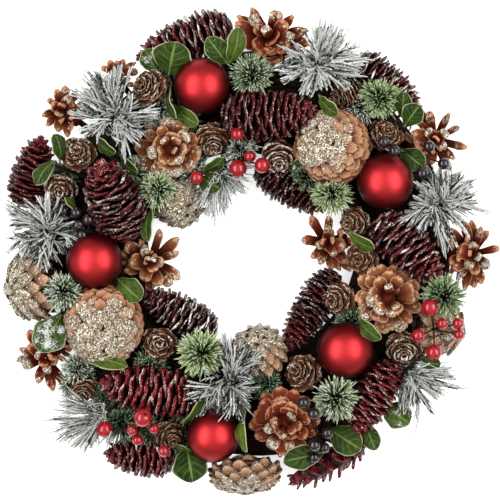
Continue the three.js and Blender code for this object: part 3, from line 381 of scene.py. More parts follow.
SPRAYS = [
    Spray((117, 117), 46, 125, 60, (115, 116), 1.0, 0.65, (
        (97, 45, 12, 5), (84, 44, 10, 5), (74, 46, 10, 6), (112, 49, 18, 7), (126, 45, 14, 8),
        (140, 42, 12, 8), (153, 42, 12, 7), (166, 40, 10, 7), (181, 46, 8, 6), (200, 38, 8, 8),
        (212, 40, 9, 8), (230, 32, 8, 9), (268, 28, 7, 8), (287, 46, 12, 7), (303, 34, 12, 8),
        (317, 34, 12, 8), (333, 38, 12, 7), (350, 38, 12, 7), (6, 46, 14, 7), (28, 38, 8, 7),
        (50, 30, 4, 5), (66, 50, 8, 5),
    )),
    Spray((318, 62), 46, 75, 60, (316, 64), 1.15, 1.1, (
        (95, 38, 12, 6), (82, 42, 12, 6), (64, 46, 12, 7), (50, 40, 8, 6), (37, 44, 10, 6), (20, 46, 10, 7),
        (8, 50, 12, 6), (1, 44, 14, 6), (-6, 48, 12, 6), (-20, 46, 12, 7), (-36, 46, 14, 6),
        (-58, 26, 8, 9), (-80, 30, 8, 8), (-97, 34, 14, 6), (-114, 33, 10, 6), (-135, 24, 6, 8),
        (206, 37, 14, 7), (190, 36, 10, 6), (180, 42, 8, 5), (198, 48, 2, 1), (158, 34, 12, 8),
        (140, 26, 8, 8), (122, 24, 6, 8),
    )),
    Spray((50, 230), 44, 170, 50, (51, 232), 1.0, 0.25, (
        (128, 40, 14, 7), (143, 48, 14, 7), (158, 43, 12, 6), (150, 47, 10, 5), (172, 41, 12, 6),
        (186, 44, 8, 5), (199, 50, 5, 7), (215, 46, 12, 5), (228, 38, 14, 7), (244, 34, 10, 7),
        (259, 44, 12, 5), (97, 36, 12, 6), (112, 34, 8, 7), (70, 32, 5, 6), (50, 26, 8, 8), (32, 24, 10, 8),
        (14, 24, 6, 8), (2, 34, 5, 4), (-14, 34, 8, 5), (-30, 24, 8, 9), (-58, 28, 14, 12),
        (-80, 32, 10, 8),
    )),
    Spray((440, 204), 44, -20, 55, (438, 204), 1.0, 0.55, (
        (-77, 50, 16, 5), (-69, 48, 12, 4), (-46, 41, 8, 4), (-30, 26, 8, 6), (-16, 40, 6, 5),
        (-6, 44, 3, 2), (4, 36, 14, 6), (18, 36, 16, 7), (30, 36, 14, 6), (42, 43, 14, 6), (54, 42, 14, 6),
        (66, 38, 12, 9), (86, 38, 12, 9), (102, 38, 10, 7), (128, 38, 4, 5), (150, 30, 8, 8),
        (172, 30, 10, 7), (192, 34, 8, 7), (208, 38, 12, 6), (226, 34, 12, 7), (245, 30, 8, 8),
        (262, 26, 6, 8),
    )),
    Spray((226, 176), 36, -85, 20, (219, 170), 0.65, 1.1, (
        (232, 38, 12, 6), (243, 44, 14, 6), (254, 50, 16, 5), (264, 52, 18, 5), (274, 46, 16, 5),
        (284, 42, 14, 5), (298, 30, 5, 5), (312, 32, 7, 6), (326, 36, 8, 5), (350, 36, 6, 6), (5, 36, 5, 5),
    )),
    Spray((104, 414), 42, 215, 12, (106, 412), 0.6, 0.5, (
        (142, 48, 9, 5), (155, 44, 14, 5), (168, 50, 10, 5), (180, 54, 10, 5), (191, 58, 12, 4),
        (202, 58, 12, 4), (213, 54, 12, 4), (224, 50, 12, 5), (236, 46, 16, 5), (248, 42, 18, 5),
        (260, 42, 18, 5), (272, 38, 12, 5), (283, 36, 10, 4),
    )),
    Spray((230, 382), 50, 230, 60, (230, 382), 1.0, 0.15, (
        (94, 44, 22, 4), (84, 42, 14, 4), (74, 42, 16, 4), (62, 38, 14, 6), (50, 36, 14, 6),
        (38, 36, 12, 6), (24, 32, 8, 7), (6, 28, 7, 8), (-16, 30, 7, 8), (-38, 30, 8, 8), (-58, 36, 10, 6),
        (-74, 38, 12, 6), (-92, 37, 12, 6), (-108, 36, 10, 6), (-124, 46, 10, 5), (-136, 42, 10, 5),
        (-150, 34, 6, 6), (196, 47, 14, 3), (187, 44, 8, 2), (172, 42, 2, 2), (146, 36, 2, 2),
    )),
    Spray((413, 381), 42, -38, 12, (408, 371), 0.75, 0.5, (
        (262, 40, 16, 5), (270, 40, 14, 5), (278, 36, 12, 5), (281, 58, 4, 1.5), (292, 40, 8, 6),
        (303, 50, 8, 4), (316, 44, 10, 5), (328, 43, 12, 5), (340, 50, 14, 5), (352, 48, 14, 4),
        (2, 44, 12, 4), (10, 36, 8, 4),
    )),
]


# Places and frames, in millimetres


def flat_spot(photo, z):
    x, y = photo
    return np.array([(x - PHOTO_CENTRE[0]) * MM_PER_PIXEL, (PHOTO_CENTRE[1] - y) * MM_PER_PIXEL, z])


def frame_shift():
    """How far the frame's origin lies from the ring's centre, read off the first bauble's node."""
    low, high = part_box("bauble_1")
    middle = (low + high) / (2 * MM)
    x, y, _ = flat_spot(BAUBLES[0][0], 0)
    return np.array([middle.x - x, middle.y - y, 0])


SHIFT = frame_shift()


def spot(photo, z):
    return flat_spot(photo, z) + SHIFT


def direction(heading, rise):
    h, r = math.radians(heading), math.radians(rise)
    return np.array([math.cos(r) * math.cos(h), math.cos(r) * math.sin(h), math.sin(r)])


def frame_of(turn, origin):
    made = np.eye(4)
    made[:3, :3] = np.array(turn)
    made[:3, 3] = origin
    return made


def frame_along(axis, origin):
    """A frame whose own +Z runs along axis."""
    return frame_of(Vector(UP).rotation_difference(Vector(axis)).to_matrix(), origin)


def cone_frame(cone):
    return frame_along(direction(cone.heading, cone.rise), spot(cone.photo, cone.z))


def leaf_frame(leaf):
    turns = ((leaf.heading, "Z"), (-leaf.rise, "Y"), (leaf.roll, "X"))
    heading, rise, roll = (Matrix.Rotation(math.radians(angle), 3, axis) for angle, axis in turns)
    return frame_of(heading @ rise @ roll, spot(leaf.photo, leaf.z))


def moved(points, matrix):
    return points @ matrix[:3, :3].T + matrix[:3, 3]


def from_ring_centre(point):
    """Compass angle and distance of a point round the ring's centre."""
    x, y = point[0] - SHIFT[0], point[1] - SHIFT[1]
    return math.atan2(x, y), math.hypot(x, y)


def on_ring(angle, radius, z):
    return np.array([radius * math.sin(angle), radius * math.cos(angle), z]) + SHIFT


def ring_top(radius):
    across = min(1, abs(radius - RING_RADIUS) / RING_HALF_WIDTH)
    return RING_MIDDLE_Z + RING_HALF_HEIGHT * math.sqrt(1 - across * across)


def over_ring(radius):
    return min(max(radius, RING_RADIUS - FOOTHOLD), RING_RADIUS + FOOTHOLD)


def ring_foot(point):
    """Where what stands at a point has its root in the ring."""
    angle, reach = from_ring_centre(point)
    near = over_ring(reach)
    return on_ring(angle, near, ring_top(near) - ROOT_DEPTH)


def draws(name):
    """A piece's own random numbers, the same on every run."""
    return np.random.default_rng(zlib.crc32(name.encode()))


def between(ends, share):
    return ends[0] + (ends[1] - ends[0]) * share


def smooth(low, high, x):
    t = np.clip((x - low) / (high - low), 0, 1)
    return t * t * (3 - 2 * t)


# Meshes

VALUES = ("tip", "rim", "tone", "frost")


class Shape:
    """Points, faces and per-point values of one piece, gathered part by part in millimetres.

    The values are tip, from 0 at a part's root to 1 at its tip; rim, which is 1 at its edge; tone, one
    random number for each scale, needle or leaf; and frost, how much white or glitter it carries. kind is
    the place of a part's material in the piece's list.
    """

    def __init__(self):
        self.points, self.values, self.loops, self.sizes, self.kinds = [], [], [], [], []
        self.count = 0

    def add(self, points, face_sets, values, kind=0, matrix=None):
        points = np.asarray(points, float).reshape(-1, 3)
        self.points.append(points if matrix is None else moved(points, matrix))
        columns = [np.broadcast_to(np.asarray(v, float).reshape(-1), (len(points),)) for v in values]
        self.values.append(np.stack(columns, 1))
        for faces in face_sets:
            self.loops.append((faces + self.count).reshape(-1))
            self.sizes.append(np.full(len(faces), faces.shape[1]))
            self.kinds.append(np.full(len(faces), kind))
        self.count += len(points)


def make_piece(name, shape, materials, node=None):
    mesh = bpy.data.meshes.new(name)
    points = np.concatenate(shape.points)
    points[:, 2] = np.maximum(points[:, 2], FLOOR_GAP)
    points = points * MM
    loops = np.concatenate(shape.loops)
    sizes = np.concatenate(shape.sizes)
    mesh.vertices.add(len(points))
    mesh.vertices.foreach_set("co", points.astype(np.float32).ravel())
    mesh.loops.add(len(loops))
    mesh.loops.foreach_set("vertex_index", loops.astype(np.int32))
    mesh.polygons.add(len(sizes))
    mesh.polygons.foreach_set("loop_start", (np.cumsum(sizes) - sizes).astype(np.int32))
    mesh.polygons.foreach_set("material_index", np.concatenate(shape.kinds).astype(np.int32))
    mesh.polygons.foreach_set("use_smooth", np.ones(len(sizes), bool))
    mesh.update(calc_edges=True)
    values = np.concatenate(shape.values).astype(np.float32)
    for column, value in enumerate(VALUES):
        attribute = mesh.attributes.new(value, "FLOAT", "POINT")
        attribute.data.foreach_set("value", np.ascontiguousarray(values[:, column]))
    for material in materials:
        mesh.materials.append(material)
    piece = bpy.data.objects.new(name, mesh)
    bpy.context.scene.collection.objects.link(piece)
    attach(piece, "root")
    if node:
        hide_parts(node)


def grid_faces(rows, columns, around=False):
    """Quads of a grid of points kept row by row; one that goes around joins its last column to its first."""
    row = columns * np.arange(rows - 1)[:, None]
    column = np.arange(columns if around else columns - 1)[None, :]
    beside = (column + 1) % columns
    corners = [row + column, row + beside, row + columns + beside, row + columns + column]
    return np.stack(corners, -1).reshape(-1, 4)


def plate_faces(rows, columns):
    """Quads of a closed plate: an upper grid, a lower one and the strip between their borders."""
    upper = grid_faces(rows, columns)
    lower = upper[:, ::-1] + rows * columns
    last = (rows - 1) * columns
    border = np.concatenate(
        [
            np.arange(columns - 1),
            columns - 1 + columns * np.arange(rows - 1),
            last + np.arange(columns - 1, 0, -1),
            columns * np.arange(rows - 1, 0, -1),
        ]
    )
    beside = np.roll(border, -1)
    strip = np.stack([beside, border, border + rows * columns, beside + rows * columns], 1)
    return np.concatenate([upper, lower, strip])


def repeated(faces, copies, points_each):
    return (faces[None] + points_each * np.arange(copies)[:, None, None]).reshape(-1, faces.shape[1])


def add_rings(shape, rings, poles, values, kind, matrix=None):
    """A closed surface through rings of points, with a fan from the first and the last to their poles."""
    stations, around = rings.shape[:2]
    step = np.arange(around)
    beside = (step + 1) % around
    last = (stations - 1) * around
    pole = np.full(around, stations * around)
    fans = np.concatenate(
        [np.stack([beside, step, pole], 1), np.stack([last + step, last + beside, pole + 1], 1)]
    )
    points = np.concatenate([rings.reshape(-1, 3), poles])
    shape.add(points, [grid_faces(stations, around, around=True), fans], values, kind, matrix)


def lathe(shape, profile, around, values, kind, matrix):
    """A closed surface turned about +Z from (radius, height) rows; the first and last lie on the axis."""
    profile = np.array(profile, float)
    radius, height = profile[1:-1, :1], profile[1:-1, 1:]
    angle = np.linspace(0, 2 * math.pi, around, endpoint=False)
    rings = np.stack([radius * np.cos(angle), radius * np.sin(angle), height + 0 * angle], -1)
    add_rings(shape, rings, [[0, 0, z] for z in profile[[0, -1], 1]], values, kind, matrix)


def curve_frames(path):
    """Two unit vectors across a path at each of its points, which turn as little as they can."""
    along = np.gradient(path, axis=0)
    along /= np.linalg.norm(along, axis=1, keepdims=True)
    start = np.array([0, 0, 1.0]) if abs(along[0, 2]) < 0.9 else np.array([1.0, 0, 0])
    first = []
    for heading in along:
        start = start - heading * (start @ heading)
        start /= np.linalg.norm(start)
        first.append(start)
    first = np.array(first)
    return first, np.cross(along, first)


def tube(shape, path, radii, around, values, kind=0):
    """A round bar along a path, closed at both ends."""
    path = np.asarray(path, float)
    radii = np.broadcast_to(radii, (len(path),))[:, None, None]
    first, second = curve_frames(path)
    angle = np.linspace(0, 2 * math.pi, around, endpoint=False)[None, :, None]
    rings = path[:, None] + radii * (first[:, None] * np.cos(angle) + second[:, None] * np.sin(angle))
    add_rings(shape, rings, path[[0, -1]], values, kind)


def smooth_path(points, steps):
    """A smooth line through a few points."""
    points = np.array(points, float)
    stations = np.linspace(0, len(points) - 1, steps)
    i = np.minimum(stations.astype(int), len(points) - 2)
    t = (stations - i)[:, None]
    padded = np.concatenate([2 * points[:1] - points[1:2], points, 2 * points[-1:] - points[-2:-1]])
    a, b, c, d = (padded[i + k] for k in range(4))
    bend, twist = 2 * a - 5 * b + 4 * c - d, 3 * b - a - 3 * c + d
    return 0.5 * (2 * b + (c - a) * t + bend * t**2 + twist * t**3)


# Cones


class Form(NamedTuple):
    """The shape of a cone's scale, whose grid of points has rows along it and columns across.

    neck is its root's width, which grows from waist to shoulder and narrows again to end at the tip. The tip
    is round where blunt is 2 and pointed below that, and sweep is how far its corners fall back. bow, curl
    and cup bend the scale, wrap rolls it round the axis, edge is its rim's share of the thickness, pad
    thickens its tip and ruffle waves it.
    """

    rows: int = 8
    columns: int = 9
    neck: float = 0.35
    waist: float = 0.0
    shoulder: float = 0.7
    end: float = 0.6
    blunt: float = 2.0
    sweep: float = 0.3
    bow: float = 0.05
    curl: float = 0.0
    cup: float = 0.0
    wrap: float = 1.1
    edge: float = 0.4
    pad: float = 0.0
    ruffle: float = 0.04


def add_scales(shape, root, tip, azimuth, half_width, thickness, form, frost, tone, rng, matrix, under=1.0):
    """Closed scales round the +Z axis, from root to tip, each of which is the scales' radii and heights.

    under is the lower face's share of the frost.
    """
    count = len(azimuth)

    def each(values):
        return np.broadcast_to(values, (count,)).reshape(count, 1, 1)

    t = 1 - (1 - np.linspace(0, 1, form.rows)[None, :, None]) ** 2.0
    crowding = 1.25
    s = np.sin(np.linspace(-1, 1, form.columns) * crowding)[None, None, :] / math.sin(crowding)
    (root_r, root_z), (tip_r, tip_z) = root, tip
    span_r, span_z = tip_r - root_r, tip_z - root_z
    length = np.hypot(span_r, span_z)
    along_r, along_z = each(span_r / length), each(span_z / length)
    normal_r, normal_z = -along_z, along_r
    length, half = each(length), each(half_width)
    phase = each(rng.uniform(0, 2 * math.pi, count))
    widening = form.neck + (1 - form.neck) * smooth(form.waist, form.shoulder, t)
    past = np.clip((t - form.shoulder) / (1 - form.shoulder), 0, 1)
    narrowing = form.end + (1 - form.end) * (1 - past**form.blunt) ** (1 / form.blunt)
    width = half * widening * narrowing * (1 + form.ruffle * np.sin(phase + 9 * t))
    ruffled = form.ruffle * np.sin(2 * phase + 6 * s) * t**2
    reach = length * (t - form.sweep * s**2 * t**2 + ruffled)
    lift = length * (form.bow * np.sin(math.pi * t) + form.curl * (t**3 - t)) + form.cup * half * s**2 * t
    lift = lift + form.ruffle * half * np.sin(3 * phase + 5 * s) * t**2
    radius = each(root_r) + along_r * reach + normal_r * lift
    height = each(root_z) + along_z * reach + normal_z * lift
    side = s * width
    roll = np.maximum(form.wrap * np.abs(radius), width / 1.3)
    turn = side / roll
    lateral = roll * np.sin(turn)
    radius = radius - roll * (1 - np.cos(turn))
    near_tip = np.clip(t - 0.6, 0, 1) / 0.4
    pillow = np.sqrt(np.clip(1 - np.abs(s) ** 3, 0, 1) * np.clip(1 - near_tip**3, 0, 1))
    pad = 1 + form.pad * smooth(0.4, 0.85, t)
    depth = each(thickness) / 2 * (form.edge + (1 - form.edge) * pillow) * pad
    sheets = []
    for face in (1, -1):
        r = radius + face * depth * normal_r
        z = height + face * depth * normal_z
        a = each(azimuth)
        x = r * np.cos(a) - lateral * np.sin(a)
        y = r * np.sin(a) + lateral * np.cos(a)
        sheets.append(np.stack([x, y, z + 0 * x], -1).reshape(count, -1, 3))
    points = np.concatenate(sheets, 1)
    grid = (count, form.rows, form.columns)
    rim = np.maximum(np.abs(s) ** 8 * smooth(0.3, 0.7, t), t**14)
    values = []
    for value, below in ((t, 1), (rim, 1), (each(np.clip(tone, 0, 1)), 1), (each(frost), under)):
        flat = np.broadcast_to(value, grid).reshape(count, -1)
        values.append(np.concatenate([flat, below * flat], 1).reshape(-1))
    faces = repeated(plate_faces(form.rows, form.columns), count, points.shape[1])
    shape.add(points, [faces[:, ::-1]], values, 0, matrix)


# Where a cone is widest, as a share of its length, and how blunt it ends.
RED_GIRTH = (0.4, 1.9)
LARCH_GIRTH = (0.35, 1.6)
PAD_GIRTH = (0.62, 3.5)


def girth(radius, u, bulge, blunt):
    """The radius of a cone at a share u of its length."""
    side = np.where(u < bulge, (bulge - u) / bulge, (u - bulge) / (1 - bulge))
    power = np.where(u < bulge, 3.0, blunt)
    return radius * np.sqrt(np.maximum(0.01, 1 - np.clip(side, 0, 1) ** power))


def add_core(shape, cone, share, widths, matrix, low=0.02, high=0.95, around=14, frost=0):
    """The spindle inside a cone, from low to high. It returns how far along the cone its points are."""
    u = np.linspace(low, high, 9)
    rows = np.stack([share * girth(cone.radius, u, *widths), (u - 0.5) * cone.length], 1)
    ends = [[0, (low - 0.5) * cone.length], [0, (high - 0.5) * cone.length]]
    # Its points take tip 0, the near-black painted shade of the materials' roots, unless the caller changes
    # it.
    lathe(shape, [ends[0], *rows, ends[1]], around, (0, 0, 0.5, frost), 0, matrix)
    return np.r_[np.repeat(u, around), low, high]


def add_stalk(shape, matrix, length):
    """A peg from the foot of a cone down into the ring."""
    start = moved(np.array([0, 0, -0.25 * length]), matrix)
    end = ring_foot(start)
    tube(shape, [start, (start + end) / 2, end], STALK_RADIUS, STEM_SIDES, (0.1, 0, 0.5, 0))


def spiral(count):
    return np.arange(count) * GOLDEN_ANGLE


RED_FORM = Form(
    rows=6, columns=9, neck=0.6, shoulder=0.7, end=0.6, sweep=0.12, bow=0.06, wrap=1.0, edge=0.5, pad=0.7,
    ruffle=0.06,
)
PETAL_FORM = Form(
    neck=0.5, shoulder=0.4, end=0.04, blunt=1.25, sweep=0.05, bow=0.12, wrap=1.0, edge=0.4, pad=0.4
)
SCALES_A_RIB = 3.7
BUDS = 26


def red_cone(cone, rng, petals):
    """A spruce cone whose scales stand open in ribs and close towards its tip, or stand out like petals."""
    shape = Shape()
    matrix = cone_frame(cone)
    pitch = cone.rib * MM_PER_PIXEL
    count = int(SCALES_A_RIB * cone.length / pitch)
    u = np.linspace(0.03, 0.99, count)
    outer = girth(cone.radius, u, *RED_GIRTH) * rng.uniform(0.97, 1.03, count)
    height = (u - 0.5) * cone.length
    closing = smooth(0.6, 0.95, u)
    forward = cone.radius * (0.42 * smooth(-0.05, 0.2, u) + 0.35 * closing)
    if petals:
        forward = cone.radius * 0.95
    root = ((0.3 + 0.1 * closing) * outer, np.maximum(height - forward, -0.49 * cone.length))
    tip = (outer, height)
    half = outer * (0.5 if petals else 0.8 - 0.2 * closing) + 0.8
    frost = cone.frost * rng.uniform(0.3, 1.0, count)
    tone = cone.pale + 0.45 * closing + rng.normal(0, 0.08, count)
    form = PETAL_FORM if petals else RED_FORM
    thickness = 0.32 * pitch
    add_scales(shape, root, tip, spiral(count), half, thickness, form, frost, tone, rng, matrix, under=0.3)
    # The petals' tip values are raised, so less painted root shade shows on them.
    if petals:
        shape.values[0][:, 0] **= 0.4
    else:
        add_buds(shape, cone, rng, matrix)
    along = add_core(shape, cone, 0.55, RED_GIRTH, matrix)
    # The core's tip values keep it dark below, in the painted shade, and red towards the cone's tip.
    core = shape.values[-1]
    core[:, 0] = 0.8 if petals else 0.6
    core[along > 0.75, 0] = 0.92
    core[along > 0.75, 2] = 0.8
    add_stalk(shape, matrix, cone.length)
    return shape


def add_buds(shape, cone, rng, matrix):
    """The small closed scales at the tip of a spruce cone."""
    u = np.linspace(0.8, 1, BUDS)
    outer = girth(cone.radius, u, *RED_GIRTH) * np.linspace(0.9, 0.35, BUDS)
    height = (u - 0.5) * cone.length
    root = (0.5 * outer, height - 0.3 * cone.radius)
    tip = (outer, height + 0.5)
    half = 1.2 + 0.08 * outer
    add_scales(shape, root, tip, spiral(BUDS) + 1, half, 1.2, RED_FORM, 0.5 * cone.frost, 0.9, rng, matrix)


LARCH_FORM = Form(
    rows=6, columns=9, neck=0.6, shoulder=0.6, end=0.4, sweep=0.15, bow=0.12, curl=-0.2, wrap=1.1, edge=0.5,
    ruffle=0.05,
)
LARCH_SCALES = 21
LARCH_FOOT_SCALES = 12


def add_larch_cone(shape, cone, rng):
    """A small cone like a rose, with thin upright scales that curl outwards at the rim."""
    matrix = cone_frame(cone)
    count = LARCH_SCALES
    u = np.linspace(0, 1, count)
    outer = cone.radius * (1.03 - 0.88 * u**1.1) * rng.uniform(0.96, 1.04, count)
    height = (-0.08 + 0.45 * u) * cone.length
    forward = cone.radius * (0.35 + 0.45 * smooth(0, 0.7, u))
    root = (0.25 * outer + 0.2, np.maximum(height - forward, -0.48 * cone.length))
    tip = (outer, height)
    half = 0.8 * outer + 0.9
    frost = cone.frost * rng.uniform(0.3, 1, count)
    tone = cone.pale + rng.normal(0, 0.2, count)
    add_scales(shape, root, tip, spiral(count), half, 0.7, LARCH_FORM, frost, tone, rng, matrix)
    u = np.linspace(0, 1, LARCH_FOOT_SCALES)
    outer = cone.radius * (0.6 + 0.4 * u)
    height = (-0.42 + 0.26 * u) * cone.length
    root = (0.2 * outer, height - 0.3 * cone.radius)
    tip = (outer, height)
    azimuth = spiral(LARCH_FOOT_SCALES) + 1
    add_scales(shape, root, tip, azimuth, 0.6 * outer, 0.8, LARCH_FORM, 0.3 * cone.frost, 0.3, rng, matrix)
    add_core(shape, cone, 0.45, LARCH_GIRTH, matrix, low=0.05, high=0.6)


ROSETTE_FORM = Form(
    rows=12, columns=11, neck=0.45, waist=0.3, shoulder=0.8, end=0.2, blunt=2.2, sweep=0.02, bow=0.0,
    curl=-0.2, cup=-0.14, wrap=6.0, edge=0.5, pad=0.6, ruffle=0.03,
)
FINGER_FORM = Form(
    rows=10, columns=9, neck=0.75, shoulder=0.8, end=0.15, sweep=0.02, bow=0.04, curl=-0.1, cup=-0.1,
    wrap=6.0, edge=0.6, pad=0.8, ruffle=0.06,
)


class Opening(NamedTuple):
    """How an open cone's scales stand.

    count is the number of hidden ones, lean the first and last one's angle from the axis in degrees, and
    height that of the first and last root as a share of the length. reach and half are the length and half
    width as shares of the radius.
    """

    count: int
    lean: tuple
    height: tuple
    reach: float
    half: float
    thickness: float
    form: Form


ROSETTE = Opening(13, (100, 60), (-0.3, -0.14), 0.8, 0.27, 2.0, ROSETTE_FORM)
FLOWER = Opening(9, (92, 60), (-0.3, -0.1), 0.65, 0.25, 1.8, FINGER_FORM)
BRANCHED = Opening(12, (104, 55), (-0.36, -0.05), 0.6, 0.18, 2.0, FINGER_FORM)


def open_cone(cone, rng, opening, scales):
    """An open pine cone: hidden scales round a spindle, and the ones that show."""
    shape = Shape()
    matrix = cone_frame(cone)
    count, form = opening.count, opening.form
    u = np.linspace(0, 1, count)
    lean = np.radians(between(opening.lean, u)) + rng.normal(0, 0.07, count)
    reach = opening.reach * cone.radius * (1 - 0.4 * u**1.7) * rng.uniform(0.93, 1.05, count)
    height = between(opening.height, u) * cone.length
    root = (0.08 * cone.radius * (1 - u), height)
    tip = (root[0] + reach * np.sin(lean), height + reach * np.cos(lean))
    half = cone.radius * opening.half * rng.uniform(0.88, 1.1, count)
    tone = cone.pale - 0.15 + rng.normal(0, 0.1, count)
    add_scales(shape, root, tip, spiral(count), half, opening.thickness, form, 0.2, tone, rng, matrix)
    # The scales that show stand where the photograph has their tips.
    x, y, width, height, frost = np.array(scales, float).T
    across = (x - cone.photo[0]) * MM_PER_PIXEL
    up = (cone.photo[1] - y) * MM_PER_PIXEL
    reach = np.hypot(across, up)
    upright = smooth(8.5, 11, height)
    root_height = np.maximum(height - (0.5 + 0.25 * upright) * reach, -0.2 * cone.length)
    root = (0.1 * reach, root_height)
    tip = (reach, height)
    half = width * MM_PER_PIXEL / 2 * (1 - 0.12 * upright)
    tone = cone.pale + rng.normal(0, 0.1, len(x))
    azimuth = np.arctan2(up, across)
    place = frame_along(UP, spot(cone.photo, cone.z))
    add_scales(shape, root, tip, azimuth, half, opening.thickness, form, frost, tone, rng, place)
    rows = [[0, -0.46], [0.3, -0.42], [0.34, -0.34], [0.25, -0.15], [0.15, 0.0], [0, 0.12]]
    profile = [[r * cone.radius, z * cone.length] for r, z in rows]
    lathe(shape, profile, 14, (0.5, 0, 0.2, 0), 0, matrix)
    add_stalk(shape, matrix, cone.length)
    return shape


ROSETTE_RISE = 8.4
ROSETTE_FALL = 14


def rosette_scales(cone, rows):
    """The scales of a rosette with their tips' heights, which fall off from the middle outwards."""
    scales = []
    for x, y, width, frost in rows:
        reach = math.hypot(x - cone.photo[0], y - cone.photo[1]) * MM_PER_PIXEL
        height = ROSETTE_RISE - ROSETTE_FALL * (reach / cone.radius) ** 1.5
        scales.append((x, y, width, height, frost))
    return scales


SHELL_FORM = Form(
    rows=7, columns=7, neck=0.6, shoulder=0.55, end=0.3, blunt=2.2, sweep=0.12, bow=0.1, curl=-0.1, wrap=1.4,
    edge=0.5, pad=0.3, ruffle=0.08,
)
PAD_FORM = Form(
    neck=0.35, shoulder=0.5, end=0.06, blunt=1.35, sweep=0.02, bow=0.02, cup=-0.05, wrap=1.6, edge=0.3,
    pad=0.6, ruffle=0.04,
)
SHELLS = 84
PADS = 66
# The side of each shell cone that is bare, in degrees, and how far the glitter reaches round it.
BARE_SIDES = ((-15, 0.98), (60, 1.3))


def shell_cone(cone, rng, bare_side, spread):
    """A cone seen from its foot, with scales like shells, whose glitter fades towards bare_side."""
    shape = Shape()
    matrix = cone_frame(cone)
    count = SHELLS
    polar = 1.8 * np.sqrt(np.linspace(0.01, 1, count)) + rng.normal(0, 0.03, count)
    top = 0.46 * cone.length

    def rise(angle):
        return top * np.sign(np.cos(angle)) * np.abs(np.cos(angle)) ** 0.6

    azimuth = spiral(count) + rng.normal(0, 0.1, count)
    reach = cone.radius * np.sin(np.minimum(polar, 1.57))
    tip = (reach * rng.uniform(0.97, 1.04, count) + 0.4, rise(polar) + rng.uniform(0, 1.5, count))
    inner = np.maximum(polar - 0.6, 0.0)
    root = (cone.radius * 0.93 * np.sin(inner) + 0.2, rise(inner) - 3.4)
    half = (2.0 + 0.15 * reach) * rng.uniform(0.85, 1.15, count)
    facing = np.cos(azimuth - math.radians(bare_side))
    frost = 1 - smooth(-0.75, 0.6, polar - spread + 0.4 * facing + rng.normal(0, 0.16, count))
    tone = rng.uniform(0.0, 0.4, count)
    add_scales(shape, root, tip, azimuth, half, 1.8, SHELL_FORM, frost, tone, rng, matrix)
    u = np.linspace(1.75, 0, 12)
    rows = np.stack([0.86 * cone.radius * np.sin(np.minimum(u, 1.57)), rise(u) - 3.2], 1)
    lathe(shape, [[0, rows[0, 1] - 6], *rows], 28, (0.5, 0, 0.5, 0.8), 0, matrix)
    add_stalk(shape, matrix, cone.length)
    return shape


def pad_cone(cone, rng):
    """A cone whose foot shows, with thick diamond pads, glittered there, that part towards the ring."""
    shape = Shape()
    matrix = cone_frame(cone) @ np.diag([1.0, -1, -1, 1])

    def width(u):
        return girth(cone.radius, u, *PAD_GIRTH)

    u = np.linspace(-0.02, 0.97, PADS)
    parted = smooth(0.3, 0.9, u)
    ahead = np.minimum(u + 0.14, 1.0)
    behind = np.maximum(u - 0.2, 0)
    tip = (width(ahead) * (1.0 + 0.06 * parted) + 1.0, (ahead - 0.5) * cone.length)
    root = (width(behind) * 0.8, (behind - 0.5) * cone.length)
    half = 0.17 * width(np.maximum(u, 0.05)) + 1.35 + 0.2 * parted
    frost = np.clip(1.5 * cone.frost - 1.3 * smooth(0.1, 0.8, u) + rng.normal(0, 0.25, PADS), 0.3, 1)
    tone = 0.8 + rng.normal(0, 0.15, PADS)
    add_scales(shape, root, tip, spiral(PADS), half, 2.4, PAD_FORM, frost, tone, rng, matrix)
    tips = shape.values[0][:, 0]
    # Raising the tip values shortens the painted shade at the pads' roots.
    tips **= 0.5
    # The first ten pads take their tips' colour all along, so that no painted root shade shows at the foot.
    at_foot = tips[: 10 * len(tips) // PADS]
    np.maximum(at_foot, 0.75, out=at_foot)
    along = add_core(shape, cone, 0.72, PAD_GIRTH, matrix, low=0.03, high=0.93, around=18, frost=0.8)
    shape.values[-1][:, 0] = 0.6 * (along < 0.2)
    add_stalk(shape, cone_frame(cone), cone.length)
    return shape


# Needles

# The shares of a needle's length at which it has a ring of points.
SPRAY_RINGS = (0, 0.35, 0.7, 0.95)
TUFT_RINGS = (0, 0.9)
NEEDLE_SIDES = 3


def add_needles(shape, keep, root, aim, length, radius, bend, frost, tone, rings):
    """Slender closed needles with three sides and a ridge on top, which droop by bend towards their tips.

    They go from root along aim, and only those to keep are made.
    """
    root, aim, length, radius = root[keep], aim[keep], length[keep], radius[keep]
    bend, frost, tone = bend[keep], frost[keep], tone[keep]
    count, stations, sides = len(root), len(rings), NEEDLE_SIDES
    t = np.array(rings)
    taper = 1.15 * np.interp(t, SPRAY_RINGS, [0.75, 1, 1, 0.8])
    aim = unit(aim)
    helper = np.where(np.abs(aim[:, 2:]) < 0.9, [[0, 0, 1.0]], [[1.0, 0, 0]])
    first = unit(np.cross(aim, helper))
    second = 0.5 * np.cross(aim, first)
    steps = np.append(t, 1.0)[None, :, None]
    line = root[:, None] + aim[:, None] * length[:, None, None] * steps + bend[:, None] * steps**2
    angle = (np.arange(sides) * (2 * math.pi / sides) - math.pi / 2)[:, None]
    across = first[:, None, None] * np.cos(angle) + second[:, None, None] * np.sin(angle)
    sections = line[:, :-1, None] + across * (radius[:, None] * taper)[:, :, None, None]
    points = np.concatenate([sections.reshape(count, -1, 3), line[:, -1:]], 1)
    quads = grid_faces(stations, sides, around=True)
    step = np.arange(sides)
    last = (stations - 1) * sides
    point = np.full(sides, stations * sides)
    fans = np.concatenate([np.stack([last + step, last + (step + 1) % sides, point], 1), [[2, 1, 0]]])
    each = points.shape[1]
    along = np.append(np.repeat(t, sides), 1.0)
    values = [np.tile(along, count), 0, np.repeat(tone, each), np.repeat(frost, each)]
    shape.add(points, [repeated(quads, count, each), repeated(fans, count, each)], values)


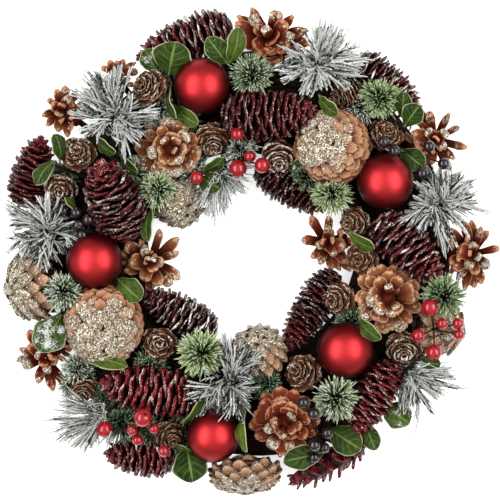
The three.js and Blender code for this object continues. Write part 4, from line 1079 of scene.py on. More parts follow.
def obstacles():
    """What needles keep clear of, as frames that turn each thing into a unit ball."""
    made = []
    for photo, z, radius in BAUBLES:
        made.append((frame_along(UP, spot(photo, z)), np.array([radius] * 3)))
    rows = [(RED_CONES, 0.96), (ROSETTE_CONES, 0.9), (OPEN_CONES, 0.8), (GLITTER_CONES, 1.0)]
    rows += [(cones, 0.95) for cones in LARCH_TWIGS.values()]
    for cones, share in rows:
        for cone in cones:
            radii = share * np.array([cone.radius, cone.radius, cone.length / 2])
            made.append((cone_frame(cone), radii))
    for _, berries in BERRY_PICKS.values():
        for x, y, z, radius in berries:
            made.append((frame_along(UP, spot((x, y), z + 9)), np.array([radius, radius, 12])))
    return made


OBSTACLES = obstacles()
# A needle that has less of its length free than this is left out.
SHORTEST_SHARE = 0.3


def clear_share(root, aim, length):
    """The share of each needle's length that is free of the things round it."""
    stations = np.linspace(0.1, 1, 10)
    share = np.ones(len(root))
    for matrix, radii in OBSTACLES:
        centre = matrix[:3, 3]
        near = np.linalg.norm(root - centre, axis=1) < length + radii.max()
        if not near.any():
            continue
        points = root[near, None] + aim[near, None] * (length[near, None] * stations)[:, :, None]
        local = (points - centre) @ matrix[:3, :3] / radii
        inside = (local**2).sum(-1) < 1
        first = np.where(inside.any(1), stations[inside.argmax(1)] - 0.1, 1)
        share[near] = np.minimum(share[near], first)
    return share


def unit(vectors):
    return vectors / np.linalg.norm(vectors, axis=-1, keepdims=True)


# Wisps numbered from CROWN on are the crown's. A strand's number is STRANDS times its wisp's, and more.
CROWN = 90
STRANDS = 100
CROWN_NEEDLES = 8
NEEDLES_A_WISP = 1.9
NEEDLES_A_STRAND = 4


def plan_needles(spray, rng):
    """Each needle's heading and rise in degrees, its length seen from above, its strand and its wisp."""
    rows = []
    for number, (angle, reach, needles, spread) in enumerate(spray.wisps):
        needles = round(NEEDLES_A_WISP * needles)
        level = rng.uniform(4, 32)
        strands = max(1, round(needles / NEEDLES_A_STRAND))
        lay = angle + rng.normal(0, spread / 2, strands)
        level = level + rng.normal(0, 6, strands)
        pick = rng.integers(0, strands, needles)
        heading = lay[pick] + rng.normal(0, 1.6, needles)
        rise = level[pick] + rng.normal(0, 2.0, needles)
        plan = reach * MM_PER_PIXEL * rng.uniform(0.7, 1.04, needles)
        rows.append((heading, rise, plan, STRANDS * number + pick, np.full(needles, number)))
    for number in range(len(spray.wisps)):
        angle = spray.wisps[rng.integers(0, len(spray.wisps))][0] + rng.normal(0, 8)
        heading = angle + rng.normal(0, 10, CROWN_NEEDLES)
        rise = 22 + 52 * (number / len(spray.wisps)) ** 1.3 + rng.normal(0, 6, CROWN_NEEDLES)
        reach = 27 - 9 * (number % 2)
        plan = np.cos(np.radians(rise)) * rng.uniform(0.6, 0.95, CROWN_NEEDLES) * reach
        strand = STRANDS * (CROWN + number) + rng.integers(0, 3, CROWN_NEEDLES)
        rows.append((heading, rise, plan, strand, np.full(CROWN_NEEDLES, CROWN + number)))
    return [np.concatenate(column) for column in zip(*rows)]


def spray_needles(shape, spray, rng):
    """Long flocked needles in wisps round the end of a stem, and a crown of shorter ones over them."""
    foot = spot(spray.middle, spray.z)
    heading, rise, plan, strand, wisp = plan_needles(spray, rng)
    heading, rise = np.radians(heading), np.radians(rise)
    count = len(plan)
    aim = np.stack([np.cos(rise) * np.cos(heading), np.cos(rise) * np.sin(heading), np.sin(rise)], 1)
    length = plan / np.cos(rise)
    keys, at = np.unique(strand, return_inverse=True)
    strands = len(keys)
    shift = rng.normal(0, 1.5, (strands, 3))[at]
    start = rng.uniform(1.0, 5.0, count)[:, None]
    root = foot + aim * [1, 1, 0.3] * start + shift
    root = root + rng.normal(0, 0.5, (count, 3))
    side = np.stack([-np.sin(heading), np.cos(heading), 0 * heading], 1)
    # Each wisp leans ahead and aside of the stem's end, and curves back to where its needles end.
    wisps, of_wisp = np.unique(wisp, return_inverse=True)
    leans = np.array([(rng.uniform(0, 6), rng.normal(0, 2.6), rng.normal(0, 3.4)) for _ in wisps])
    ahead, aside, curve = leans[of_wisp].T[:, :, None]
    inner = (wisp >= CROWN)[:, None]
    ahead, aside = np.where(inner, 0.2 * ahead - 1, ahead), np.where(inner, 0.7 * aside, aside)
    root = root + aim * [1, 1, 0.2] * ahead + side * aside
    tip = foot + aim * length[:, None] + side * curve * 0.3
    length = np.linalg.norm(tip - side * curve - root, axis=1)
    aim = unit(tip - side * curve - root)
    share = clear_share(root, aim, length)
    low = root[:, 2] + aim[:, 2] * length * share < 1
    swing = rng.normal(0, 2.8, (strands, 3))[at]
    bend = swing + rng.normal(0, 0.6, (count, 3)) - [0, 0, 1.5] + side * curve
    light = rng.uniform(0.0, 1.0, strands)[at]
    dull = 0.4 * (1 - min(spray.frost, 1))
    tone = np.clip(light + rng.normal(dull, 0.15, count), 0, 1)
    bare = np.clip(0.48 - 0.26 * spray.frost, 0.08, 0.5)
    frost = rng.choice([0.12, 0.8, 1.0], count, p=[bare, 0.35, 0.65 - bare])
    radius = spray.stout * rng.uniform(0.45, 0.85, count) * (0.85 + 0.15 * smooth(0.2, 0.5, frost))
    keep = (share > SHORTEST_SHARE) & ~low
    add_needles(shape, keep, root, aim, length * share, radius, bend, frost, tone, SPRAY_RINGS)


TUFT_NEEDLES = 500


def tuft_needles(shape, tuft, rng):
    """A ball of short needles."""
    count = TUFT_NEEDLES
    height = 1 - 1.55 * (np.arange(count) + 0.5) / count
    azimuth = spiral(count)
    flat = np.sqrt(np.clip(1 - height**2, 0, 1))
    aim = np.stack([flat * np.cos(azimuth), flat * np.sin(azimuth), height], 1)
    aim = unit(aim + rng.normal(0, 0.2, aim.shape))
    foot = spot(tuft.photo, tuft.z)
    root = foot + 2.5 * aim * [1, 1, 1.2]
    length = (tuft.radius - 1.5) * rng.uniform(0.68, 1.1, count)
    share = clear_share(root, aim, length)
    bend = rng.normal(0, 1.7, (count, 3)) + [0, 0, 0.8]
    frost = np.clip(tuft.frost * rng.uniform(0.3, 1.3, count), 0, 1)
    tone = np.clip(tuft.fresh + rng.normal(0, 0.12, count), 0, 1)
    radius = 1.18 * rng.uniform(0.34, 0.54, count)
    keep = share > SHORTEST_SHARE
    add_needles(shape, keep, root, aim, length * share, radius, bend, frost, tone, TUFT_RINGS)
    knot = [[0, -4], [2.2, -3], [3, 0], [2.2, 3], [0, 4]]
    lathe(shape, knot, 10, (0, 0, 0, 0), 0, frame_along(UP, foot))


# Leaves

# Half the thickness of a leaf's blade.
LEAF_HALF = 0.3
# The rows and columns of points of each of its faces.
LEAF_GRID = (19, 11)


def add_leaf(shape, leaf, rng):
    """A leaf with a waved edge, folded a little along its rib, which arches from its foot to its tip."""
    rows, columns = LEAF_GRID
    u = 0.5 - 0.5 * np.cos(math.pi * np.linspace(0, 1, rows))[:, None]
    s = np.linspace(-1, 1, columns)[None, :]
    outline = np.sin(math.pi * np.clip(u, 0.001, 0.999) ** 1.2) ** 0.55 * (1 - 0.35 * (1 - u) ** 2)
    outline = np.maximum(outline, 0.07)
    phase = rng.uniform(0, 2 * math.pi, 3)
    half = leaf.width / 2 * outline * (1 + 0.05 * np.sin(15 * u + phase[0] + 2 * s))
    x = u * leaf.length
    y = s * half
    z = 0.16 * leaf.length * np.sin(math.pi * u) + 0.15 * np.abs(y)
    z = z + 0.05 * leaf.width * np.abs(s) ** 2 * np.sin(11 * u + phase[1] + 1.5 * s)
    z = z - 0.3 * leaf.width * np.abs(s) ** 3 * u * (1 - u)
    sheets = [np.stack([x + 0 * s, y, z + face * LEAF_HALF], -1).reshape(-1, 3) for face in (1, -1)]
    along, across = (np.tile(np.broadcast_to(v, (rows, columns)).ravel(), 2) for v in (u, np.abs(s)))
    matrix = leaf_frame(leaf)
    values = [along, across, leaf.pale, leaf.frost]
    shape.add(np.concatenate(sheets), [plate_faces(rows, columns)], values, 0, matrix)
    foot = moved(np.array([0.12 * leaf.length, 0, 0.06 * leaf.length]), matrix)
    base = moved(np.array([-1.0, 0, -0.5]), matrix)
    tube(shape, smooth_path([foot, base], 4), [0.5, 0.8, 0.9, 0.9], 6, (0.1, 0, leaf.pale, 0))


# Wires, berries, baubles and the ring

# The values of stems and wires, and those of metal.
BARE = (0, 0, 0.5, 0)
METAL = (0, 1, 0.5, 0)


def add_garland_wires(shape, track, other_track, loads):
    """A wire along the ring at the radius track, and a riser from it to each load of (photo, foot)."""
    level = ring_top(track) + WIRE_LIFT
    angles = np.array([from_ring_centre(spot(photo, 0))[0] for photo, _ in loads])
    middle = math.atan2(np.sin(angles).sum(), np.cos(angles).sum())
    turns = (angles - middle + math.pi) % (2 * math.pi) - math.pi
    stretch = np.linspace(turns.min() - 0.02, turns.max() + 0.02, WIRE_STATIONS)
    along = [on_ring(middle + turn, track, level) for turn in stretch]
    tube(shape, along, WIRE_RADIUS, STEM_SIDES, BARE, 1)
    for angle, (_, foot) in zip(angles, loads):
        _, reach = from_ring_centre(foot)
        points = [on_ring(angle, track, level)]
        if (reach - other_track) * (track - other_track) < 0:
            points += [on_ring(angle, at, level + WIRE_CROSSING) for at in (track, over_ring(reach))]
        points.append(foot)
        tube(shape, smooth_path(points, 4 * len(points)), WIRE_RADIUS, STEM_SIDES, BARE, 1)


# The rows and columns of points of a ball.
BAUBLE_GRID = (49, 72)
BERRY_GRID = (15, 22)


def ball(radius, count):
    """The rows of a ball's outline."""
    polar = np.linspace(0, math.pi, count)
    return np.stack([radius * np.sin(polar), -radius * np.cos(polar)], 1)


def add_berry(shape, centre, radius, outward):
    """A round berry with a small calyx at its free end."""
    rows = ball(radius, BERRY_GRID[0])
    rows[-1, 1] -= 0.16 * radius
    rows[-2, 1] -= 0.06 * radius
    matrix = frame_along(outward, centre)
    lathe(shape, rows, BERRY_GRID[1], (0.5, 0, 0.5, 0), 0, matrix)
    calyx = [[0, 0.8], [0.12, 0.82], [0.15, 0.93], [0.07, 1.0], [0, 1.0]]
    lathe(shape, [[r * radius, z * radius] for r, z in calyx], 8, BARE, 1, matrix)


def berry_pick(head, berries, rng):
    """A stem that stands in the ring, and a berry on each of the thin stems that part at its head."""
    shape = Shape()
    head = spot(head[:2], head[2])
    root = ring_foot(head)
    tube(shape, [root, (root + head) / 2, head], PICK_RADIUS, STEM_SIDES, BARE, 1)
    for x, y, z, radius in berries:
        centre = spot((x, y), z)
        outward = unit(unit(centre - head) * [1, 1, 0.3] + rng.normal(0, 0.15, 3) + [0, 0, 0.15])
        add_berry(shape, centre, radius, outward)
        path = smooth_path([head, (head + centre) / 2 + [0, 0, 2.5], centre], 9)
        tube(shape, path, BERRY_STEM_RADIUS, 7, BARE, 1)
    return shape


def bauble(photo, z, radius):
    """A glass ball with its metal cap and the peg from it turned down into the wreath."""
    shape = Shape()
    centre = spot(photo, z)
    foot = ring_foot(centre)
    matrix = frame_along(unit(centre - foot), centre)
    lathe(shape, ball(radius, BAUBLE_GRID[0]), BAUBLE_GRID[1], (1, 0, 0.5, 0), 0, matrix)
    # The tip value is the height over the ball's middle, so the satin red is lighter on top and darker
    # towards its sides: painted shade.
    shape.values[-1][:, 0] = np.clip((shape.points[-1][:, 2] - centre[2]) / radius, 0, 1)
    low = -radius
    cap = [
        [0, low + 1.5], [5.2, low + 0.9], [5.6, low], [5.2, low - 0.8],
        [5.0, low - 4], [4.6, low - 5], [1.2, low - 5.4], [0, low - 5.4],
    ]
    lathe(shape, cap, 24, METAL, 1, matrix)
    end = -np.linalg.norm(centre - foot)
    peg = [[0, low - 4], [1.2, low - 4.4], [1.2, end], [0, end - 0.2]]
    lathe(shape, peg, 8, METAL, 1, matrix)
    return shape


RING_STATIONS = 100
STRAND_SIDES = 6
BINDINGS = 9
BINDING_RADIUS = 0.5
BINDING_LOW = 0.6
# For each layer of the ring: its share of the section, its strands, their radius, and how many places the
# strands move on by in one turn. Each strand ends in another's place, a little past where that one starts.
RING_LAYERS = ((0.86, 26, 3.7, 5), (0.5, 12, 4.6, -3))


def along_ring(angle, out, z):
    r = RING_RADIUS + out
    return np.stack([r * np.sin(angle) + SHIFT[0], r * np.cos(angle) + SHIFT[1], z], 1)


def vine_ring(rng):
    """A flat bundle of vine strands that twist round one another along the ring, and its wire bindings."""
    shape = Shape()
    run = np.arange(RING_STATIONS + 4) * (2 * math.pi / RING_STATIONS)
    wander = 1 + 0.03 * np.sin(3 * run) + 0.02 * np.sin(7 * run + 1)
    for share, strands, radius, places in RING_LAYERS:
        for strand in range(strands):
            lay = strand * 2 * math.pi / strands + places * run / strands
            jitter = 0.6 * np.sin(run * rng.integers(5, 11) + rng.uniform(0, 6))
            out = RING_HALF_WIDTH * share * wander * np.cos(lay) + jitter
            rise = RING_HALF_HEIGHT * share * np.sin(lay)
            thick = radius * (1 + 0.12 * np.sin(run * rng.integers(7, 15) + rng.uniform(0, 6)))
            z = np.maximum(RING_MIDDLE_Z + rise, thick + FLOOR_GAP)
            tube(shape, along_ring(run, out, z), thick, STRAND_SIDES, (0.5, 0, rng.uniform(0, 1), 0))
    around = np.linspace(0, 2 * math.pi, WIRE_STATIONS)
    out = (RING_HALF_WIDTH + 0.9) * np.cos(around)
    z = np.maximum(RING_MIDDLE_Z + (RING_HALF_HEIGHT + 0.6) * np.sin(around), BINDING_LOW)
    for binding in range(BINDINGS):
        slant = binding * 2 * math.pi / BINDINGS + 0.2 + 0.03 * np.sin(around)
        tube(shape, along_ring(slant, out, z), BINDING_RADIUS, STRAND_SIDES, METAL, 1)
    return shape


# Materials


class Paint:
    """Builds one procedural material. Positions are in millimetres."""

    def __init__(self, name):
        self.material = bpy.data.materials.new(name)
        self.material.use_nodes = True
        self.nodes = self.material.node_tree.nodes
        self.links = self.material.node_tree.links
        coordinates = self.node("TexCoord")
        scaled = self.node("VectorMath")
        scaled.operation = "SCALE"
        self.feed(scaled, {0: coordinates.outputs["Object"], "Scale": 1 / MM})
        self.place = scaled.outputs[0]

    def node(self, kind):
        return self.nodes.new("ShaderNode" + kind)

    def feed(self, node, inputs):
        """Gives a node's inputs a socket, a colour or a number each."""
        for name, value in inputs.items():
            socket = node.inputs[name]
            if isinstance(value, bpy.types.NodeSocket):
                self.links.new(value, socket)
            elif isinstance(value, tuple) and socket.type == "RGBA":
                socket.default_value = (*value, 1)
            else:
                socket.default_value = value
        return node

    def value(self, name):
        node = self.node("Attribute")
        node.attribute_name = name
        return node.outputs["Fac"]

    def values(self):
        return [self.value(name) for name in VALUES]

    def noise(self, size, detail=2.0, rough=0.5):
        """Noise with features about size millimetres wide."""
        inputs = {"Scale": 1 / size, "Detail": detail, "Roughness": rough, "Vector": self.place}
        return self.feed(self.node("TexNoise"), inputs).outputs["Fac"]

    def cells(self, size):
        """Random grey and colour of cells about size millimetres wide."""
        return self.feed(self.node("TexVoronoi"), {"Scale": 1 / size, "Vector": self.place}).outputs["Color"]

    def math(self, operation, a, b=0.0):
        node = self.node("Math")
        node.operation = operation
        return self.feed(node, {0: a, 1: b}).outputs[0]

    def times(self, a, b):
        return self.math("MULTIPLY", a, b)

    def plus(self, a, b):
        return self.math("ADD", a, b)

    def minus(self, a, b):
        return self.math("SUBTRACT", a, b)

    def step(self, value, low, high):
        """A soft step from 0 at low to 1 at high."""
        node = self.node("MapRange")
        node.interpolation_type = "SMOOTHSTEP"
        return self.feed(node, {"Value": value, "From Min": low, "From Max": high}).outputs["Result"]

    def ramp(self, value, *stops):
        """A colour for each (position, colour) stop."""
        node = self.node("ValToRGB")
        elements = node.color_ramp.elements
        for i, (position, colour) in enumerate(stops):
            element = elements[i] if i < 2 else elements.new(position)
            element.position = position
            element.color = (*colour, 1)
        return self.feed(node, {"Fac": value}).outputs["Color"]

    def mix(self, factor, a, b):
        node = self.node("Mix")
        node.data_type = "RGBA"
        return self.feed(node, {"Factor": factor, 6: a, 7: b}).outputs[2]

    def bump(self, height, strength, distance):
        inputs = {"Strength": strength, "Distance": distance * MM, "Height": height}
        return self.feed(self.node("Bump"), inputs).outputs["Normal"]

    def cover(self, base, mask, share, colour):
        """A colour over a base where the mask is, with a share of its strength."""
        return self.mix(self.times(mask, share), base, colour)

    def finish(self, colour, rough, normal=None, **others):
        """Joins everything to the shader; the others are its sockets, with _ in place of spaces."""
        sockets = {name.replace("_", " "): value for name, value in others.items()}
        if normal is not None:
            sockets["Normal"] = normal
        self.feed(self.nodes["Principled BSDF"], {"Base Color": colour, "Roughness": rough, **sockets})
        return self.material


def red_varnish():
    p = Paint("red_varnish")
    tip, _, bright, frost = p.values()
    # Each red runs from near black at the scale's root, painted shade between the scales, to its brightest
    # at the rim, a painted highlight.
    dull = p.ramp(
        tip, (0.72, (0.0018, 0.0005, 0.0004)), (0.9, (0.01, 0.0013, 0.001)), (1.0, (0.036, 0.0032, 0.0028)),
    )
    vivid = p.ramp(
        tip, (0.62, (0.003, 0.0006, 0.0005)), (0.87, (0.062, 0.0033, 0.0042)), (1.0, (0.21, 0.0085, 0.012)),
    )
    colour = p.mix(bright, dull, vivid)
    colour = p.cover(colour, p.step(p.noise(1.8, 3), 0.4, 0.66), 0.8, (0.006, 0.001, 0.001))
    # White frost streaks and dots along the rims, partly real frost and partly painted highlight.
    fine = p.times(p.noise(0.65, 2, 0.7), 0.85)
    patch = p.times(p.noise(6, 1), 0.45)
    amount = p.plus(p.plus(fine, patch), p.times(frost, 0.3))
    mask = p.times(p.step(amount, 0.86, 0.92), p.step(tip, 0.84, 0.93))
    dots = p.step(p.plus(p.noise(0.9, 1), p.times(frost, 0.04)), 0.7, 0.73)
    dots = p.times(dots, p.step(tip, 0.75, 0.88))
    mask = p.math("MAXIMUM", mask, dots)
    colour = p.mix(mask, colour, (0.84, 0.79, 0.71))
    rough = p.plus(0.32, p.times(mask, 0.4))
    normal = p.bump(p.noise(1.1, 3), 0.5, 0.5)
    return p.finish(colour, rough, normal, Specular_IOR_Level=0.1, Coat_Weight=0.12, Coat_Roughness=0.15)


def satin_red():
    p = Paint("satin_red")
    facing = p.value("tip")
    speck = p.step(p.noise(0.7, 1), 0.74, 0.78)
    # Painted shade: the red runs from dark at the ball's sides to light on its top.
    colour = p.ramp(
        facing, (0.25, (0.062, 0.006, 0.006)), (0.75, (0.31, 0.018, 0.021)), (1.0, (0.5, 0.03, 0.034)),
    )
    colour = p.mix(p.step(p.noise(14, 1), 0.3, 0.7), p.mix(0.12, colour, (0.1, 0.004, 0.005)), colour)
    colour = p.cover(colour, speck, 0.25, (0.8, 0.25, 0.25))
    rough = p.plus(0.42, p.times(p.noise(6), 0.05))
    normal = p.bump(p.noise(0.5, 1), 0.05, 0.2)
    return p.finish(colour, rough, normal, Metallic=1.0)


def cap_metal():
    p = Paint("cap_metal")
    colour = p.ramp(p.noise(3), (0.3, (0.35, 0.25, 0.12)), (0.7, (0.5, 0.38, 0.2)))
    rough = p.plus(0.25, p.times(p.noise(2), 0.2))
    return p.finish(colour, rough, Metallic=1.0)


def open_wood():
    p = Paint("open_wood")
    tip, rim, pale, frost = p.values()
    # Both browns run from near black at the scale's root, painted shade between the scales, to light at its
    # tip.
    red = p.ramp(
        tip, (0.1, (0.014, 0.002, 0.0008)), (0.55, (0.062, 0.0062, 0.002)), (0.88, (0.115, 0.0165, 0.0052)),
        (1.0, (0.31, 0.105, 0.047)),
    )
    tan = p.ramp(
        tip, (0.25, (0.014, 0.003, 0.001)), (0.65, (0.075, 0.018, 0.0055)), (0.88, (0.19, 0.07, 0.024)),
        (1.0, (0.41, 0.21, 0.098)),
    )
    colour = p.mix(pale, red, tan)
    # Paler rims: partly the wood's own pale edge and partly painted highlight on the thick ends.
    edge = p.mix(pale, (0.46, 0.2, 0.1), (0.52, 0.32, 0.18))
    colour = p.cover(colour, p.step(rim, 0.12, 0.8), 0.85, edge)
    grain = p.noise(1.3, 4, 0.6)
    colour = p.cover(colour, p.step(grain, 0.48, 0.75), 0.55, (0.035, 0.011, 0.004))
    patch = p.plus(p.noise(3.0, 3, 0.7), p.times(frost, 0.24))
    patch = p.times(p.step(patch, 0.62, 0.68), p.step(tip, 0.6, 0.85))
    glitter = p.ramp(
        p.cells(0.8), (0.2, (0.07, 0.05, 0.03)), (0.45, (0.22, 0.18, 0.12)), (0.7, (0.42, 0.38, 0.31)),
        (0.9, (0.75, 0.72, 0.65)),
    )
    colour = p.mix(patch, colour, glitter)
    normal = p.bump(grain, 0.4, 0.5)
    rough = p.minus(0.5, p.times(patch, 0.1))
    return p.finish(colour, rough, normal, Specular_IOR_Level=0.05)


def glitter_wood():
    p = Paint("glitter_wood")
    tip, rim, pale, frost = p.values()
    # The bare wood runs from near black at the scale's root, painted shade between the scales, to light at
    # its tip.
    bare = p.ramp(
        tip, (0.3, (0.02, 0.005, 0.002)), (0.55, (0.2, 0.07, 0.03)), (0.85, (0.38, 0.19, 0.1)),
        (1.0, (0.5, 0.29, 0.17)),
    )
    tan = p.ramp(tip, (0.4, (0.03, 0.01, 0.005)), (0.7, (0.2, 0.095, 0.045)), (1.0, (0.44, 0.28, 0.165)))
    bare = p.mix(pale, bare, tan)
    bare = p.cover(bare, p.step(p.noise(1.4, 4, 0.65), 0.5, 0.75), 0.5, (0.2, 0.065, 0.028))
    # Dark scale edges: painted shade in the cracks between the overlapping scales.
    bare = p.cover(bare, p.step(rim, 0.2, 0.7), 0.85, (0.04, 0.013, 0.006))
    glitter = p.ramp(
        p.cells(0.72), (0.15, (0.035, 0.024, 0.013)), (0.38, (0.15, 0.115, 0.07)),
        (0.62, (0.31, 0.27, 0.2)), (0.85, (0.82, 0.79, 0.7)),
    )
    dim = p.mix(0.5, glitter, (0.14, 0.08, 0.04))
    glitter = p.mix(p.step(p.noise(2.4, 3, 0.65), 0.32, 0.6), dim, glitter)
    dusting = p.plus(p.noise(1.3, 4, 0.8), p.times(frost, 0.42))
    mask = p.times(p.step(dusting, 0.62, 0.74), p.step(tip, 0.2, 0.45))
    colour = p.mix(mask, bare, glitter)
    metal = p.times(mask, p.times(p.step(p.cells(0.72), 0.6, 0.85), 0.3))
    rough = p.minus(0.55, p.times(mask, 0.15))
    height = p.plus(p.cells(0.72), p.noise(1.2, 2))
    normal = p.bump(height, 0.6, 0.4)
    return p.finish(colour, rough, normal, Metallic=metal, Specular_IOR_Level=0.08)


def larch_wood():
    p = Paint("larch_wood")
    tip, rim, pale, frost = p.values()
    # Both browns run from near black at the scale's root, painted shade inside the cone, to light at its
    # tip.
    dark = p.ramp(
        tip, (0.5, (0.002, 0.0008, 0.0004)), (0.8, (0.016, 0.0048, 0.0018)), (1.0, (0.06, 0.02, 0.008)),
    )
    light = p.ramp(
        tip, (0.5, (0.005, 0.0018, 0.0008)), (0.8, (0.042, 0.0125, 0.0042)), (1.0, (0.14, 0.05, 0.019)),
    )
    colour = p.mix(pale, dark, light)
    grain = p.step(p.noise(1.1, 3, 0.6), 0.48, 0.72)
    colour = p.cover(colour, grain, 0.5, (0.008, 0.003, 0.0015))
    # Pale rims: partly the scales' own pale edge and partly painted highlight.
    edge = p.step(p.plus(rim, p.times(p.noise(2), 0.3)), 0.85, 1.1)
    colour = p.cover(colour, edge, 0.8, (0.4, 0.28, 0.19))
    near_tip = p.times(frost, p.step(tip, 0.8, 0.97))
    speck = p.plus(p.noise(1.2, 3, 0.65), p.times(near_tip, 0.42))
    mask = p.times(p.step(speck, 0.7, 0.77), p.step(frost, 0.02, 0.1))
    colour = p.mix(mask, colour, (0.55, 0.52, 0.46))
    normal = p.bump(p.noise(0.8, 3), 0.5, 0.4)
    return p.finish(colour, 0.42, normal, Specular_IOR_Level=0.06)


def berry_skin(name, dark, bright):
    p = Paint(name)
    colour = p.mix(p.step(p.noise(3, 2), 0.35, 0.65), dark, bright)
    speck = p.times(p.step(p.noise(0.6, 1), 0.75, 0.8), 0.25)
    colour = p.mix(speck, colour, (0.5, 0.35, 0.35))
    rough = p.plus(0.1, p.times(p.noise(2), 0.06))
    normal = p.bump(p.noise(1.5, 2), 0.1, 0.4)
    return p.finish(colour, rough, normal, Specular_IOR_Level=0.3, Coat_Weight=0.4, Coat_Roughness=0.05)


def bark(name, dark, light, grain):
    p = Paint(name)
    tone = p.value("tone")
    colour = p.ramp(p.noise(grain, 4, 0.65), (0.35, dark), (0.7, light))
    colour = p.cover(colour, tone, 0.4, dark)
    normal = p.bump(p.noise(grain, 4, 0.65), 0.6, 1.0)
    return p.finish(colour, 0.85, normal, Specular_IOR_Level=0.1)


def leaf_green():
    p = Paint("leaf_green")
    along, across, pale, frost = p.values()
    dark = p.mix(p.step(p.noise(5, 2), 0.3, 0.7), (0.006, 0.013, 0.0015), (0.013, 0.031, 0.003))
    light = p.mix(p.step(p.noise(5, 2), 0.3, 0.7), (0.04, 0.066, 0.007), (0.085, 0.125, 0.016))
    colour = p.mix(pale, dark, light)
    vein_at = p.math("FRACT", p.minus(p.times(along, 5.5), p.times(across, 1.8)))
    off = p.math("ABSOLUTE", p.minus(vein_at, 0.5))
    side_vein = p.times(p.minus(1.0, p.step(off, 0.02, 0.09)), p.step(across, 0.95, 0.5))
    middle_vein = p.minus(1.0, p.step(across, 0.03, 0.1))
    veins = p.math("MAXIMUM", p.times(side_vein, 0.6), middle_vein)
    colour = p.cover(colour, veins, 0.6, (0.14, 0.21, 0.055))
    border = p.math("MAXIMUM", p.step(across, 0.88, 0.98), p.step(along, 0.98, 1.0))
    colour = p.cover(colour, border, 0.85, (0.36, 0.36, 0.2))
    fine = p.times(p.noise(1.1, 3, 0.75), 0.9)
    patch = p.plus(p.times(p.noise(7, 1), 0.7), fine)
    patch = p.plus(patch, p.times(frost, 0.2))
    inner = p.step(across, 0.95, 0.6)
    mask = p.times(p.step(patch, 1.01, 1.08), p.times(inner, p.step(frost, 0.05, 0.25)))
    colour = p.mix(mask, colour, (0.4, 0.41, 0.39))
    height = p.minus(p.noise(2, 2), veins)
    normal = p.bump(height, 0.35, 0.6)
    rough = p.plus(0.38, p.times(mask, 0.4))
    return p.finish(colour, rough, normal, Specular_IOR_Level=0.08)


def needle_green():
    p = Paint("needle_green")
    tip, _, fresh, frost = p.values()
    # Both greens run from near black at the needle's root, painted shade in the tuft's middle, to light at
    # its tip.
    dull = p.ramp(
        tip, (0.2, (0.004, 0.007, 0.003)), (0.6, (0.026, 0.05, 0.02)), (1.0, (0.15, 0.215, 0.115)),
    )
    bright = p.ramp(
        tip, (0.2, (0.008, 0.015, 0.004)), (0.6, (0.12, 0.19, 0.045)), (1.0, (0.54, 0.64, 0.33)),
    )
    colour = p.mix(fresh, dull, bright)
    amount = p.times(frost, p.step(tip, 0.4, 0.9))
    mask = p.step(p.plus(p.noise(1.4, 3), p.times(amount, 0.35)), 0.64, 0.74)
    colour = p.cover(colour, mask, 0.9, (0.6, 0.64, 0.56))
    rough = p.plus(0.45, p.times(mask, 0.3))
    normal = p.bump(p.noise(0.8), 0.2, 0.3)
    return p.finish(colour, rough, normal, Specular_IOR_Level=0.15)


def needle_flock():
    p = Paint("needle_flock")
    tip, _, tone, frost = p.values()
    under = p.mix(p.noise(2), (0.004, 0.006, 0.004), (0.02, 0.026, 0.018))
    white = p.mix(p.step(p.noise(1.6, 3, 0.6), 0.3, 0.7), (0.37, 0.375, 0.36), (0.8, 0.8, 0.77))
    white = p.cover(white, tone, 0.45, (0.1, 0.104, 0.095))
    cover = p.plus(p.noise(1.8, 3, 0.65), p.times(frost, 0.34))
    mask = p.times(p.step(cover, 0.56, 0.66), p.step(tip, 0.02, 0.2))
    colour = p.mix(mask, under, white)
    normal = p.bump(p.noise(0.7, 3), 0.5, 0.4)
    return p.finish(colour, 0.85, normal, Specular_IOR_Level=0.1)


def pale_floor():
    p = Paint("pale_floor")
    colour = p.mix(p.noise(80, 2), (0.86, 0.86, 0.86), (0.88, 0.88, 0.88))
    return p.finish(colour, 0.9, Emission_Color=(1.0, 1.0, 1.0), Emission_Strength=0.6)


# The wreath


RED = red_varnish()
SATIN = satin_red()
CAP = cap_metal()
WOOD = open_wood()
GLITTER = glitter_wood()
LARCH = larch_wood()
BERRY_SKINS = {
    "red": berry_skin("red_berry_skin", (0.2, 0.003, 0.006), (0.28, 0.004, 0.009)),
    "dark": berry_skin("dark_berry_skin", (0.004, 0.0018, 0.003), (0.016, 0.006, 0.009)),
}
TWIG = bark("twig_bark", (0.006, 0.003, 0.002), (0.03, 0.014, 0.007), 1.2)
# The vine's bark is kept near black, partly its own dark colour and partly painted shade in the gaps between
# the pieces.
VINE = bark("vine_bark", (0.003, 0.0018, 0.0012), (0.03, 0.016, 0.008), 3.0)
WIRE = bark("binding_wire", (0.004, 0.006, 0.004), (0.012, 0.018, 0.01), 2.0)
LEAF = leaf_green()
NEEDLE = needle_green()
FLOCK = needle_flock()

make_piece("ring_of_vine", vine_ring(draws("ring")), [VINE, WIRE], "vine_ring")

for i, (photo, z, radius) in enumerate(BAUBLES, 1):
    make_piece(f"red_bauble_{i}", bauble(photo, z, radius), [SATIN, CAP], f"bauble_{i}")

for i, cone in enumerate(RED_CONES, 1):
    shape = red_cone(cone, draws(f"red {i}"), petals=i == PETAL_CONE)
    make_piece(f"painted_cone_{i}", shape, [RED], f"red_cone_{i}")

for i, (cone, rows) in enumerate(zip(ROSETTE_CONES, ROSETTE_SCALES), 1):
    shape = open_cone(cone, draws(f"rosette {i}"), ROSETTE, rosette_scales(cone, rows))
    make_piece(f"rosette_pine_cone_{i}", shape, [WOOD], f"rosette_cone_{i}")

